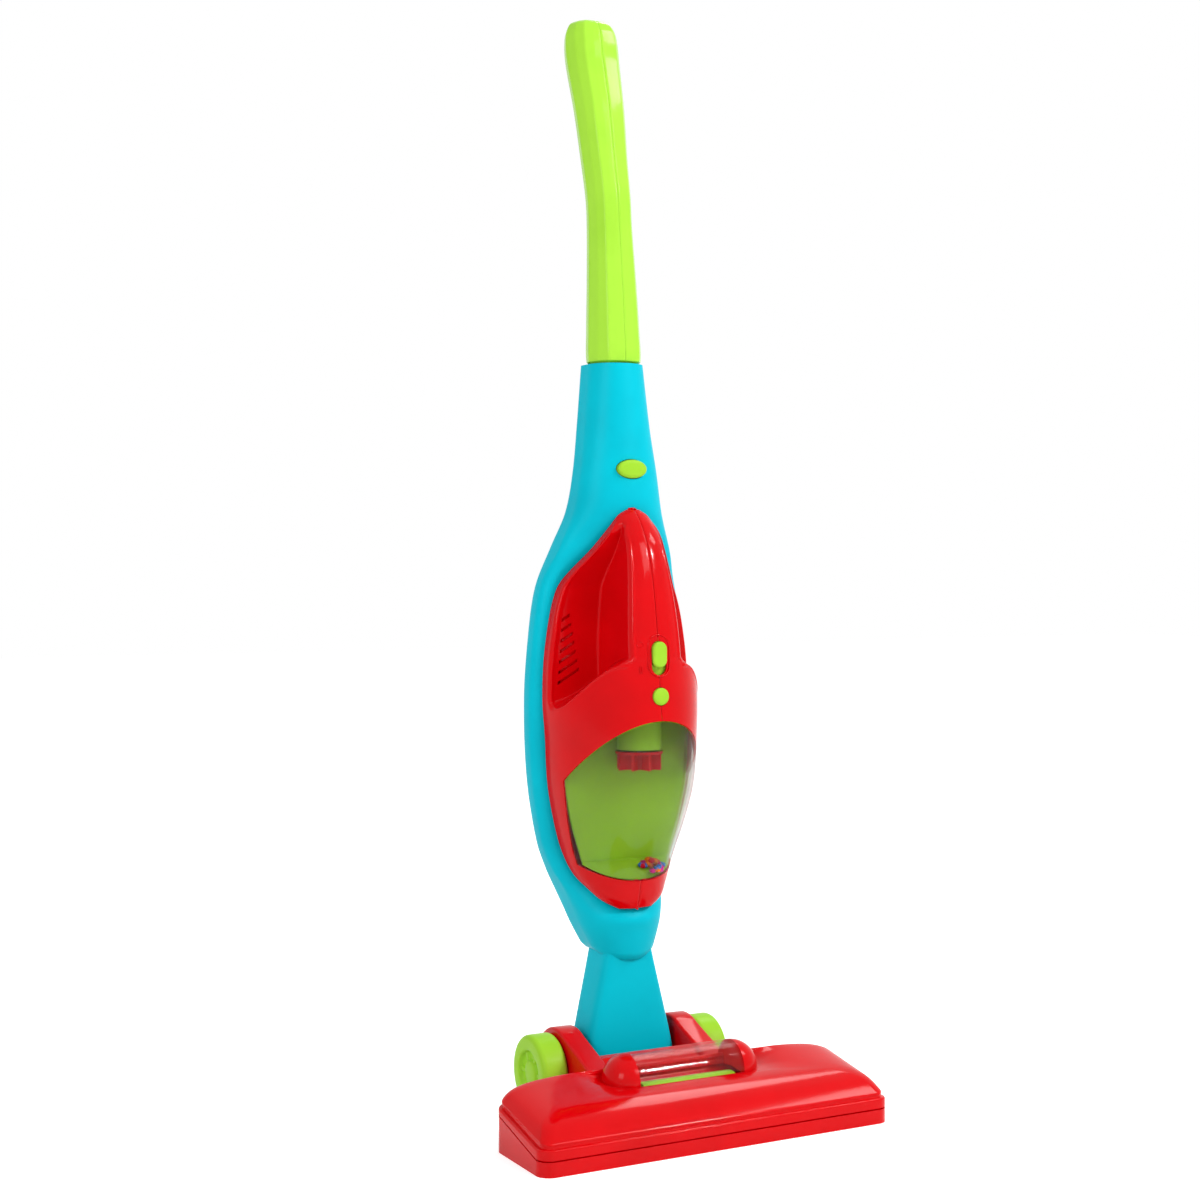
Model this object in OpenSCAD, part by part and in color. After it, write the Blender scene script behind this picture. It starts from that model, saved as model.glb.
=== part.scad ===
// Toy upright vacuum cleaner: a floor head on wheels, a leaning upright with a
// lime grip, and a battery handheld that lifts out of its cradle.
// Frame: +Z up, -Y to the front, origin at the centre of the floor head's underside.

/* [Floor head] */
// Width of the floor head
head_w = 220; // [200:1:240]
// Depth of the floor head's front bar
head_d = 60; // [54:1:66]
// Corner radius of the head's outline
head_corner_r = 8; // [6:1:12]
// Height of the base tray at its front edge
tray_front_h = 8; // [6:0.5:10]
// Height of the base tray at its rear edge
tray_rear_h = 21; // [16:0.5:23]
// Height of the upright skirt of the top cover
skirt_h = 7; // [5:0.5:9]
// Height of the crown of the top cover above the floor
crown_h = 37; // [33:0.5:40]
// Wall of the moulded shells
wall = 2; // [1.6:0.1:2.4]

/* [Head window] */
// Outer radius of the half round window
window_r = 15; // [13:0.5:17]
// Length of the clear window between its end domes
window_len = 67; // [56:1:76]
// Distance of the window's axis behind the head's centre
window_y = 18.8; // [16:0.2:20]
// Height of the window's axis above the floor
window_z = 30.5; // [29:0.5:32]
// Thickness of the clear window
window_t = 1.6; // [1.2:0.1:2]

/* [Wheels] */
// Distance of the wheel axle behind the head's centre
axle_y = 88; // [82:1:94]
// Radius of the rear wheels
wheel_r = 21.8; // [20:0.1:23]
// Width of a wheel
wheel_w = 16; // [14:0.5:18]
// Diameter of the steel wheel axle
axle_d = 5; // [4:0.5:6]
// Half gap between the two cheeks that carry the axle
cheek_inner_x = 31; // [29:0.5:33]
// Thickness of a cheek
cheek_w = 14; // [12:0.5:16]
// Radius of a cheek round the axle
cheek_r = 24.5; // [23:0.5:26]

/* [Brush roller] */
// Radius of the brush roller
roller_r = 14.5; // [13:0.5:15]
// Diameter of the roller's steel pin
roller_pin_d = 4; // [3:0.5:5]

/* [Neck] */
// Height of the pinched waist between neck and body above the floor
waist_z = 89; // [84:1:94]
// Half width of the neck at its foot
neck_foot_half_w = 29.5; // [27:0.5:30]
// Half depth of the neck at its foot
neck_foot_half_d = 15; // [13:0.5:17]
// Half width of the waist
waist_half_w = 19; // [17:0.5:21]
// Half depth of the waist
waist_half_d = 18; // [16:0.5:20]

/* [Body] */
// Distance of the body's top collar above the handheld's tip
collar_gap = 87; // [80:1:95]
// Half width of the body at its widest
body_half_w = 53; // [50:0.5:55]
// Depth of the body's rear half
body_rear_d = 26; // [24:0.5:30]
// Largest depth of the body's front half
body_front_d = 27; // [25:0.5:29]
// Distance of the body's parting plane behind the axle
parting_y = 11; // [9:0.5:13]

/* [Handle] */
// Overall height of the toy
total_h = 650; // [630:1:680]
// Half width of the handle at the collar
handle_half_w = 17; // [15.5:0.5:17.5]
// Half depth of the handle at the collar
handle_half_d = 16.5; // [15:0.5:17]
// How far the handle's tip lies behind its foot
handle_lean = 31; // [24:1:38]

/* [Handheld] */
// Height of the handheld's lower tip above the floor
hand_z = 116; // [112:1:119]
// Length of the handheld
hand_h = 233; // [228:1:236]
// Half width of the handheld at its widest
hand_half_w = 47.3; // [45:0.1:48]
// Depth of the handheld in front of the parting plane
hand_d = 63; // [60:0.5:66]
// Half width of the grip spine
spine_half_w = 17; // [15.5:0.5:18]
// Thickness of the plate behind the finger pockets
pocket_plate_t = 8; // [7:0.5:9]
// Clearance between the handheld and its cradle
cradle_clearance = 0.5; // [0.4:0.1:0.8]

/* [Dust cup] */
// Depth of the red side strip behind the clear dust cup
cup_strip_d = 17; // [15:0.5:19]
// Height of the cup's rear top corner above the floor
cup_corner_z = 191; // [186:0.5:196]
// Rise of the cup's arch from its rear corner to the front
cup_arch_rise = 36; // [32:0.5:38]
// Height of the cup's lowest edge above the floor
cup_floor_z = 132; // [129:0.5:134]
// Thickness of the clear cup
cup_t = 1.6; // [1.2:0.1:2]

/* [Fan and motor] */
// Distance of the motor's axis in front of the wheel axle
motor_y = 21.5; // [20:0.5:22.5]
// Radius of the motor cover
motor_cover_r = 13; // [12:0.5:14]
// Height of the motor cover's lower rim above the floor
motor_cover_z = 209; // [206:0.5:212]
// Radius of the fan
fan_r = 14; // [12:0.5:15]
// Height of the fan's blades
fan_h = 11; // [9:0.5:12]
// Number of fan blades
fan_blades = 8; // [5:1:10]
// Diameter of the motor shaft
shaft_d = 2; // [1.5:0.1:3]

/* [Controls] */
// Distance of the release button's centre above the handheld's tip
release_gap = 24; // [20:0.5:28]
// Length of the oval release button across the body
release_w = 19; // [17:0.5:20]
// Height of the oval release button
release_h = 11; // [9.5:0.5:12]
// Travel of the release button
release_travel = 2.5; // [2:0.1:3]
// Height of the slide switch's centre above the floor
switch_z = 265; // [263:0.5:267]
// Travel of the slide switch
switch_travel = 4; // [3:0.5:5]
// Height of the round button's centre above the floor
button_z = 241; // [239:0.5:243]
// Diameter of the round button
button_d = 10; // [9:0.5:11]
// Travel of the round button
button_travel = 1.5; // [1:0.1:2]

/* [Hidden] */
$fn = 48;

// Colours of the mouldings
lime = "#a4dc3c";
cyan = "#00c2d4";
red = "#d80a10";
steel = "#b8bcc0";

// Clearances and small sizes
overrun = 1;
turn_clearance = 0.05;
slide_clearance = 0.3;
seam_gap = 0.1;
screw_d = 2.6;
screw_head_d = 5;
screw_head_h = 1.8;
axle_z = wheel_r;

// A smooth curve through a table of [place, value] pairs, both as shares
function row_below(t, table, i = 0) =
    i >= len(table) - 2 || t < table[i + 1][0] ? i : row_below(t, table, i + 1);
function slope(table, i) =
    i == 0 ? (table[1][1] - table[0][1]) / (table[1][0] - table[0][0]) :
    i == len(table) - 1 ? (table[i][1] - table[i - 1][1]) / (table[i][0] - table[i - 1][0]) :
    (table[i + 1][1] - table[i - 1][1]) / (table[i + 1][0] - table[i - 1][0]);
function curve(t, table) =
    let (i = row_below(t, table), p = table[i], q = table[i + 1], h = q[0] - p[0],
         u = min(1, max(0, (t - p[0]) / h)))
    p[1] * (1 + 2 * u) * (1 - u) * (1 - u) + slope(table, i) * h * u * (1 - u) * (1 - u)
    + q[1] * u * u * (3 - 2 * u) + slope(table, i + 1) * h * u * u * (u - 1);

function smooth_step(t) = let (u = min(1, max(0, t))) u * u * (3 - 2 * u);
function flat(rows) = [for (r = rows) for (p = r) p];

// Triangles of a grid of rows by columns whose first point has the number first
function grid_faces(rows, cols, first, turned) =
    [for (i = [0 : rows - 2]) for (j = [0 : cols - 2])
        let (a = first + i * cols + j, b = a + 1, c = a + cols, d = c + 1)
        each turned ? [[a, b, d], [a, d, c]] : [[a, d, b], [a, c, d]]];

// A closed shell between an outer and an inner grid of points
module patch_shell(outer, inner, turned = false) {
    rows = len(outer);
    cols = len(outer[0]);
    n = rows * cols;
    rim = concat([for (j = [0 : cols - 2]) [j, j + 1]],
                 [for (i = [0 : rows - 2]) [i * cols + cols - 1, (i + 1) * cols + cols - 1]],
                 [for (j = [cols - 1 : -1 : 1]) [(rows - 1) * cols + j, (rows - 1) * cols + j - 1]],
                 [for (i = [rows - 1 : -1 : 1]) [i * cols, (i - 1) * cols]]);
    polyhedron(concat(flat(outer), flat(inner)),
        concat(grid_faces(rows, cols, 0, turned), grid_faces(rows, cols, n, !turned),
               [for (e = rim) each turned
                   ? [[e[0], e[1] + n, e[1]], [e[0], e[0] + n, e[1] + n]]
                   : [[e[0], e[1], e[1] + n], [e[0], e[1] + n, e[0] + n]]]));
}

// A screw with its head at the origin and its shank along +Z
module screw(length) {
    cylinder(d = screw_head_d, h = screw_head_h);
    cylinder(d = screw_d, h = screw_head_h + length);
}

// A tube-like shell between an outer and an inner stack of rings, open at both ends
module ring_shell(outer, inner) {
    rows = len(outer);
    cols = len(outer[0]);
    n = rows * cols;
    last = rows - 1;
    function at(i, j) = i * cols + j % cols;
    polyhedron(concat(flat(outer), flat(inner)),
        concat([for (i = [0 : rows - 2]) for (j = [0 : cols - 1])
                   each [[at(i, j), at(i + 1, j + 1), at(i, j + 1)],
                         [at(i, j), at(i + 1, j), at(i + 1, j + 1)],
                         [n + at(i, j), n + at(i, j + 1), n + at(i + 1, j + 1)],
                         [n + at(i, j), n + at(i + 1, j + 1), n + at(i + 1, j)]]],
               [for (j = [0 : cols - 1])
                   each [[at(0, j), at(0, j + 1), n + at(0, j + 1)],
                         [at(0, j), n + at(0, j + 1), n + at(0, j)],
                         [at(last, j), n + at(last, j + 1), at(last, j + 1)],
                         [at(last, j), n + at(last, j), n + at(last, j + 1)]]]));
}

// Floor head
head_clear = 0.3;
head_half_w = head_w / 2;
head_half_d = head_d / 2;
roller_ride = 1;
roller_len = window_len - 4 * wall;
roller_y = window_y - roller_r / 2;
roller_z = roller_r + roller_ride;
slot_clear = 2;
ear_t = 4;
bridge_half_w = cheek_inner_x - head_clear;
bridge_gap = 7;
bridge_end_y = axle_y - neck_foot_half_d - bridge_gap;
bridge_low_z = 3;
bridge_drop = 0.7;
bridge_top_z = window_z - head_clear - bridge_drop;
bridge_front_share = 0.5;
bridge_lip = 4.5;
bridge_lip_w = 6;
bridge_edge = 2.5;
lip_rear_y = bridge_end_y - 2 * bridge_edge;

// The rounded outline of the head, drawn in by an inset
module head_outline(inset) {
    r = head_corner_r - inset;
    square([head_w - 2 * head_corner_r, head_d - 2 * inset], center = true);
    square([head_w - 2 * inset, head_d - 2 * head_corner_r], center = true);
    for (sx = [-1, 1]) for (sy = [-1, 1])
        translate([sx * (head_half_w - head_corner_r), sy * (head_half_d - head_corner_r)]) circle(r = r);
}

// A profile in Y and Z carried across the head between two X places
module across(x0, x1) {
    translate([x0, 0, 0]) rotate([90, 0, 90]) linear_extrude(height = x1 - x0) children();
}

// Height of the slanting joint between tray and cover at a place in Y
function tray_top(y) = tray_front_h
    + (tray_rear_h - tray_front_h) * max(0, y + head_half_d - head_corner_r) / (head_d - head_corner_r);

module tray_wedge(x, low, drop) {
    knee_y = head_corner_r - head_half_d;
    across(-x, x) polygon([[-head_half_d - overrun, low], [head_half_d + overrun, low],
        [head_half_d + overrun, tray_top(head_half_d + overrun) - drop],
        [knee_y, tray_front_h - drop], [-head_half_d - overrun, tray_front_h - drop]]);
}

module head_base() color(red) {
    difference() {
        intersection() {
            linear_extrude(height = tray_rear_h + overrun) head_outline(0);
            tray_wedge(head_half_w + overrun, 0, 0);
        }
        translate([0, 0, wall]) linear_extrude(height = tray_rear_h) head_outline(wall);
        translate([-roller_len / 2 - slot_clear, roller_y - roller_r - slot_clear, -overrun])
            cube([roller_len + 2 * slot_clear, 2 * (roller_r + slot_clear), wall + 2 * overrun]);
        for (side = [-1, 1]) translate([side * head_screw_x, 0, -overrun])
            cylinder(d = boss_d - wall, h = wall + 2 * overrun);
    }
    for (side = [-1, 1]) translate([side * head_screw_x, 0, 0]) difference() {
        cylinder(d = boss_d, h = tray_front_h);
        translate([0, 0, -overrun]) cylinder(d = screw_head_d + 2 * slide_clearance, h = screw_seat_z + overrun);
        cylinder(d = screw_d + 2 * slide_clearance, h = tray_front_h + overrun);
    }
    for (side = [-1, 1])
        translate([side * (roller_len / 2 + slot_clear + ear_t / 2), 0, 0]) difference() {
            across(-ear_t / 2, ear_t / 2) translate([roller_y - 2 * roller_pin_d, 0])
                square([4 * roller_pin_d, roller_z + roller_pin_d]);
            across(-ear_t, ear_t) translate([roller_y, roller_z])
                circle(d = roller_pin_d + 2 * turn_clearance);
        }
    across(-bridge_half_w, bridge_half_w) difference() {
        polygon([[head_half_d - overrun, bridge_low_z], [bridge_end_y, bridge_low_z],
                 [bridge_end_y, bridge_top_z * bridge_front_share],
                 [bridge_end_y - bridge_edge, bridge_top_z + bridge_lip - bridge_edge],
                 [lip_rear_y, bridge_top_z + bridge_lip], [lip_rear_y - bridge_lip_w, bridge_top_z + bridge_lip],
                 [lip_rear_y - bridge_lip_w - bridge_lip, bridge_top_z], [head_half_d, bridge_top_z],
                 [head_half_d, tray_rear_h], [head_half_d - overrun, tray_rear_h - overrun]]);
        polygon([[head_half_d + wall, bridge_low_z - overrun], [bridge_end_y - wall, bridge_low_z - overrun],
                 [bridge_end_y - wall, bridge_top_z * bridge_front_share],
                 [bridge_end_y - bridge_gap - wall, bridge_top_z - wall], [head_half_d + wall, bridge_top_z - wall]]);
    }
}

// Rings of the cover above its skirt: shares of half depth to the front and rear, of half
// width, and of crown height at the front and rear. The window's opening follows.
skirt_rear_share = 0.6;
cover_ring_shares = [[-0.9, 0.98, 0.975, 0.47, 0.76],
                     [-0.5, 0.95, 0.9, 0.63, 0.87], [-0.15, 0.93, 0.75, 0.75, 0.95],
                     [0.05, 0.9, 0.56, 0.82, 0.97]];
corner_steps = 5;

function rounded_ring(yf, yr, hw, r) =
    [for (c = [0 : 3]) for (i = [0 : corner_steps]) let (a = 90 * c + 90 * i / corner_steps)
        [(c == 0 || c == 3 ? 1 : -1) * (hw - r) + r * cos(a), (c < 2 ? yr - r : yf + r) + r * sin(a)]];
function skirt_ring(rise, inset) =
    [for (p = rounded_ring(inset - head_half_d, head_half_d - inset, head_half_w - inset, head_corner_r - inset))
        let (back = (p[1] + head_half_d) / head_d)
        [p[0], p[1], tray_top(p[1]) + head_clear + rise * (1 - back * (1 - skirt_rear_share))]];
function cover_ring(k, inset) =
    let (s = cover_ring_shares[k], yf = s[0] * head_half_d + inset, yr = s[1] * head_half_d - inset)
    [for (p = rounded_ring(yf, yr, s[2] * head_half_w - inset, head_corner_r - inset))
        [p[0], p[1], crown_h * (s[3] + (s[4] - s[3]) * (p[1] - yf) / (yr - yf)) - inset]];
opening_half_w = window_len / 2 + window_r - wall;
opening_front_y = window_y - window_r + head_clear;
opening_rear_y = head_half_d - 2 * wall;
opening_r = wall;
function opening_ring(inset) =
    [for (p = rounded_ring(opening_front_y, opening_rear_y, opening_half_w, opening_r))
        [p[0], p[1], window_z - head_clear - inset]];
function cover_rings(inset) =
    concat([skirt_ring(0, inset), skirt_ring(skirt_h - inset, inset)],
           [for (k = [0 : len(cover_ring_shares) - 1]) cover_ring(k, inset)], [opening_ring(inset)]);

module head_top_cover() color(red) ring_shell(cover_rings(0), cover_rings(wall));

// Half round end caps of the window, each a quarter of a hollow ball
module window_end_domes() color(red) for (side = [-1, 1])
    translate([side * window_len / 2, window_y, window_z]) rotate([0, 0, side > 0 ? -90 : 90])
        rotate_extrude(angle = 180) difference() {
            circle(r = window_r);
            circle(r = window_r - wall);
            translate([-2 * window_r, -window_r]) square([2 * window_r, 2 * window_r]);
            translate([0, -2 * window_r]) square([2 * window_r, 2 * window_r]);
        }

module head_window() color("lightgrey", 0.4)
    across(-window_len / 2 + head_clear, window_len / 2 - head_clear) translate([window_y, window_z]) difference() {
        circle(r = window_r);
        circle(r = window_r - window_t);
        translate([-window_r - overrun, -2 * window_r]) square([2 * (window_r + overrun), 2 * window_r]);
    }

cheek_low_z = 3;
cheek_front_share = 0.92;
cheek_slope = 30;
module cheek(x0) color(red) difference() {
    across(x0, x0 + cheek_w) intersection() {
        union() {
            translate([axle_y, axle_z]) circle(r = cheek_r);
            polygon([[head_half_d, cheek_low_z], [axle_y, cheek_low_z], [axle_y, axle_z],
                     [axle_y - cheek_r * sin(cheek_slope), axle_z + cheek_r * cos(cheek_slope)],
                     [head_half_d + cheek_low_z, bridge_top_z * cheek_front_share],
                     [head_half_d, bridge_top_z * cheek_front_share]]);
        }
        translate([0, cheek_low_z]) square([2 * axle_y, 2 * axle_y]);
    }
    across(x0 - overrun, x0 + cheek_w + overrun) translate([axle_y, axle_z]) circle(d = axle_d);
}
module left_cheek() cheek(-cheek_inner_x - cheek_w);
module right_cheek() cheek(cheek_inner_x);

wheel_gap = 0.6;
wheel_x = cheek_inner_x + cheek_w + wheel_gap;
wheel_edge_r = 3;
hub_r = 13;
hub_depth = 3;
module wheel_axle() color(steel) translate([0, axle_y, axle_z]) rotate([0, 90, 0])
    cylinder(d = axle_d, h = 2 * (wheel_x + wheel_w - hub_depth - head_clear), center = true);

module wheel() color(lime) rotate_extrude() {
    bore_r = axle_d / 2 + turn_clearance;
    difference() {
        union() {
            translate([bore_r, 0]) square([wheel_r - wheel_edge_r - bore_r, wheel_w]);
            translate([bore_r, wheel_edge_r]) square([wheel_r - bore_r, wheel_w - 2 * wheel_edge_r]);
            for (z = [wheel_edge_r, wheel_w - wheel_edge_r])
                translate([wheel_r - wheel_edge_r, z]) circle(r = wheel_edge_r);
        }
        translate([0, wheel_w - hub_depth]) square([hub_r, hub_depth + overrun]);
    }
}
module right_wheel() translate([wheel_x, axle_y, axle_z]) rotate([0, 90, 0]) wheel();
module left_wheel() translate([-wheel_x, axle_y, axle_z]) rotate([0, -90, 0]) wheel();

module brush_roller() color(lime) difference() {
    across(-roller_len / 2, roller_len / 2) translate([roller_y, roller_z]) circle(r = roller_r);
    across(-roller_len, roller_len) translate([roller_y, roller_z]) circle(d = roller_pin_d);
}
module roller_pin() color(steel)
    across(-roller_len / 2 - slot_clear - ear_t, roller_len / 2 + slot_clear + ear_t)
        translate([roller_y, roller_z]) circle(d = roller_pin_d);

head_screw_x_share = 0.8;
head_screw_x = head_half_w * head_screw_x_share;
boss_d = 9;
screw_seat_z = 4;
head_screw_len = 12;
module head_screws() color(steel) for (side = [-1, 1])
    translate([side * head_screw_x, 0, screw_seat_z - screw_head_h]) screw(head_screw_len);

// Bosses under the cover that take the screws from below
cover_boss_share = 0.63;
module cover_bosses() color(red) for (side = [-1, 1])
    translate([side * head_screw_x, 0, tray_front_h + slide_clearance]) difference() {
        cylinder(d = boss_d, h = crown_h * cover_boss_share - tray_front_h - slide_clearance);
        translate([0, 0, -overrun]) cylinder(d = screw_d, h = head_screw_len);
    }

// Upright: half sections run from -X to +X, with sign -1 for the front and 1 for the rear
section_steps = 12;
function raised(v, e) = sign(v) * pow(abs(v), e);
function half_section(a, b, y, z, side, power, skirt) =
    concat(is_undef(skirt) ? [] : [[-a, y - side * skirt, z]],
           [for (i = [0 : section_steps]) let (q = 180 * i / section_steps)
               [-a * raised(cos(q), 2 / power), y + side * b * raised(sin(q), 2 / power), z]],
           is_undef(skirt) ? [] : [[a, y - side * skirt, z]]);

// Neck between the axle and the waist: shares of its height, and of how far it has drawn in
neck_drop_share = 0.6;
neck_low_z = axle_z - neck_foot_half_d * neck_drop_share;
neck_plug_h = 7;
neck_top_z = waist_z + neck_plug_h;
neck_top_half_w = waist_half_w - wall - slide_clearance;
neck_top_half_d = waist_half_d - 2 * wall - slide_clearance;
neck_draw_shares = [[0, 0], [0.16, 0], [0.26, 0.06], [0.9, 0.95], [1, 1]];
neck_rows = 10;
waist_y_share = 0.18;
neck_foot_power = 5;
neck_top_power = 2;
neck_square_share = 0.8;
waist_share = (waist_z - neck_low_z) / (neck_top_z - neck_low_z);
function neck_power(t) = neck_foot_power + (neck_top_power - neck_foot_power)
    * smooth_step((t - neck_square_share) / (waist_share - neck_square_share));

function neck_rows_of(side, inset) = [for (i = [0 : neck_rows])
    let (t = i / neck_rows, g = curve(t, neck_draw_shares), z = neck_low_z + t * (neck_top_z - neck_low_z),
         a = neck_foot_half_w + g * (neck_top_half_w - neck_foot_half_w),
         b = neck_foot_half_d + g * (neck_top_half_d - neck_foot_half_d),
         y = axle_y + g * parting_y * waist_y_share)
    half_section(a - inset, b - inset, y + side * seam_gap, z, side, neck_power(t), undef)];
module axle_way() across(-neck_foot_half_w - overrun, neck_foot_half_w + overrun)
    translate([axle_y, axle_z]) circle(d = axle_d + 2 * slide_clearance);
module neck_front() color(cyan) difference() {
    patch_shell(neck_rows_of(-1, 0), neck_rows_of(-1, wall), true);
    axle_way();
}
module neck_rear() color(cyan) difference() {
    patch_shell(neck_rows_of(1, 0), neck_rows_of(1, wall));
    axle_way();
}

pivot_r = 2 * axle_d;
pivot_half_w = (neck_foot_half_w - wall) * pow(1 - pow(pivot_r / (neck_foot_half_d - wall), neck_foot_power), 1 / neck_foot_power)
    - slide_clearance;
module neck_pivot() color(cyan) translate([0, axle_y, axle_z]) rotate([0, 90, 0]) difference() {
    cylinder(r = pivot_r, h = 2 * pivot_half_w, center = true);
    cylinder(d = axle_d + 2 * turn_clearance, h = 2 * pivot_half_w + overrun, center = true);
}

// Body: shares of its height, then of half width, parting place, front depth and rear depth
body_shares = [
    [0, 0.358, 0.18, 0.667, 0.69], [0.043, 0.481, 0.55, 0.889, 0.8], [0.066, 0.528, 0.8, 1, 0.86],
    [0.095, 0.6, 1, 0.74, 0.95], [0.133, 0.72, 1, 0.22, 1], [0.182, 0.84, 1, 0, 1],
    [0.291, 0.965, 1, 0, 1], [0.421, 1, 1, 0, 1], [0.524, 0.955, 1, 0, 1], [0.617, 0.86, 1, 0, 1],
    [0.689, 0.69, 0.82, 0.52, 0.9], [0.746, 0.55, 0.64, 0.74, 0.77], [0.816, 0.477, 0.55, 0.7, 0.73],
    [0.89, 0.415, 0.73, 0.685, 0.71], [1, 0.34, 0.91, 0.648, 0.67]];
function body_share(t, k) = curve(t, [for (r = body_shares) [r[0], r[k]]]);
collar_z = hand_z + hand_h + collar_gap;
body_h = collar_z - waist_z;
body_rows = 32;
front_power = 2;
rear_power = 3;
function body_t(z) = (z - waist_z) / body_h;
function body_a(z) = body_half_w * body_share(body_t(z), 1);
function body_y(z) = axle_y + parting_y * body_share(body_t(z), 2);
function body_b(z) = max(0, body_front_d * body_share(body_t(z), 3));
function body_c(z) = body_rear_d * body_share(body_t(z), 4);
function front_face_y(z) = body_y(z) - body_b(z);

function body_front_rows(inset) = [for (i = [0 : body_rows]) let (z = waist_z + body_h * i / body_rows)
    half_section(body_a(z) - inset, body_b(z), body_y(z) + inset, z, -1, front_power, wall - inset)];
function body_rear_rows(inset) = [for (i = [0 : body_rows]) let (z = waist_z + body_h * i / body_rows)
    half_section(body_a(z) - inset, body_c(z) - wall - inset, body_y(z) + wall + seam_gap, z, 1, rear_power, undef)];

// An oval in X and Z carried along Y from one place to another
module oval_bar(w, h, y0, y1, z) {
    translate([0, y1, z]) rotate([90, 0, 0]) linear_extrude(height = y1 - y0) {
        square([w - h, h], center = true);
        for (sx = [-1, 1]) translate([sx * (w - h) / 2, 0]) circle(d = h);
    }
}

release_z = hand_z + hand_h + release_gap;
release_stand = 2;
release_flange = 1.2;
release_y = front_face_y(release_z);
release_flange_y = release_y + 3 * wall;
release_body_y = release_flange_y + release_flange;
module body_front_shell() color(cyan) difference() {
    patch_shell(body_front_rows(0), body_front_rows(wall), true);
    oval_bar(release_w + 2 * slide_clearance, release_h + 2 * slide_clearance,
             release_y - release_stand - overrun, release_flange_y - slide_clearance, release_z);
}

spring_d = 6;
spring_len = 9;
spring_seat_y = release_body_y + spring_len;
body_screw_shares = [0.27, 0.56];
body_screw_len = 14;
function rear_inner_y(z) = body_y(z) + body_c(z) - wall - slide_clearance;
module body_rear_shell() color(cyan) difference() {
    patch_shell(body_rear_rows(0), body_rear_rows(wall));
    for (t = body_screw_shares) let (z = waist_z + t * body_h)
        translate([0, rear_inner_y(z) + 2 * wall, z]) rotate([90, 0, 0])
            cylinder(d = screw_head_d + 2 * slide_clearance, h = 3 * wall);
}

// Bosses inside the rear shell: one behind the release spring, two for screws from the rear
module body_bosses() color(cyan) {
    translate([0, rear_inner_y(release_z), release_z]) rotate([90, 0, 0])
        cylinder(d = spring_d + 2 * wall, h = rear_inner_y(release_z) - spring_seat_y);
    for (t = body_screw_shares) let (z = waist_z + t * body_h, front_y = body_y(z) + wall + slide_clearance)
        translate([0, rear_inner_y(z), z]) rotate([90, 0, 0]) difference() {
            cylinder(d = boss_d, h = rear_inner_y(z) - front_y);
            translate([0, 0, -overrun]) cylinder(d = screw_d, h = body_screw_len + overrun);
        }
}

module release_button() color(lime) {
    oval_bar(release_w, release_h, release_y - release_stand, release_body_y, release_z);
    oval_bar(release_w + 2 * wall, release_h + 2 * wall, release_flange_y, release_body_y, release_z);
}
module release_spring() color(steel) translate([0, spring_seat_y, release_z]) rotate([90, 0, 0]) difference() {
    cylinder(d = spring_d, h = spring_len);
    translate([0, 0, -overrun]) cylinder(d = spring_d - wall, h = spring_len + 2 * overrun);
}

module body_screws() color(steel) for (t = body_screw_shares) let (z = waist_z + t * body_h)
    translate([0, rear_inner_y(z) + screw_head_h, z]) rotate([90, 0, 0]) screw(body_screw_len);

// Handle: shares of its height, then of half width, half depth and lean
handle_plug = 22;
handle_z = collar_z - handle_plug;
handle_shares = [
    [0, 0.82, 0.82, 0], [0.08, 0.82, 0.82, 0.01], [0.12, 0.96, 0.96, 0.025], [0.18, 0.94, 0.95, 0.05], [0.3, 0.88, 0.88, 0.1], [0.45, 0.82, 0.82, 0.19],
    [0.52, 0.82, 0.815, 0.24], [0.63, 0.86, 0.84, 0.42], [0.755, 0.94, 0.87, 0.62], [0.885, 1.02, 0.9, 0.9],
    [0.94, 1.01, 0.87, 0.97], [0.975, 0.9, 0.74, 0.99], [0.993, 0.62, 0.5, 1], [1, 0.16, 0.13, 1]];
function handle_share(t, k) = curve(t, [for (r = handle_shares) [r[0], r[k]]]);
handle_rows = 40;
handle_foot_share = 0.88;
handle_foot_y = axle_y + parting_y * handle_foot_share;
handle_row_power = 1.6;
facet_angles = [0, 18, 36, 60, 90, 120, 144, 162, 180];
facet_swell_shares = [0.97, 0.965, 1.04, 0.99, 1.0, 0.99, 1.04, 0.965, 0.97];
function handle_rows_of(inset) = [for (i = [0 : handle_rows])
    let (u = i / handle_rows, t = 1 - pow(1 - u, handle_row_power), z = handle_z + t * (total_h - handle_z) - (i == handle_rows ? inset : 0),
         a = max(seam_gap * 2, handle_half_w * handle_share(t, 1) - inset),
         b = max(seam_gap * 2, handle_half_d * handle_share(t, 2) - inset),
         y = handle_foot_y + handle_lean * handle_share(t, 3))
    [for (j = [0 : len(facet_angles) - 1]) let (q = facet_angles[j], k = facet_swell_shares[j])
        [seam_gap / 2 + a * k * sin(q), y - b * k * cos(q), z]]];
module handle_half() color(lime) patch_shell(handle_rows_of(0), handle_rows_of(wall), true);
module handle_right_half() handle_half();
module handle_left_half() mirror([1, 0, 0]) handle_half();

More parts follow.
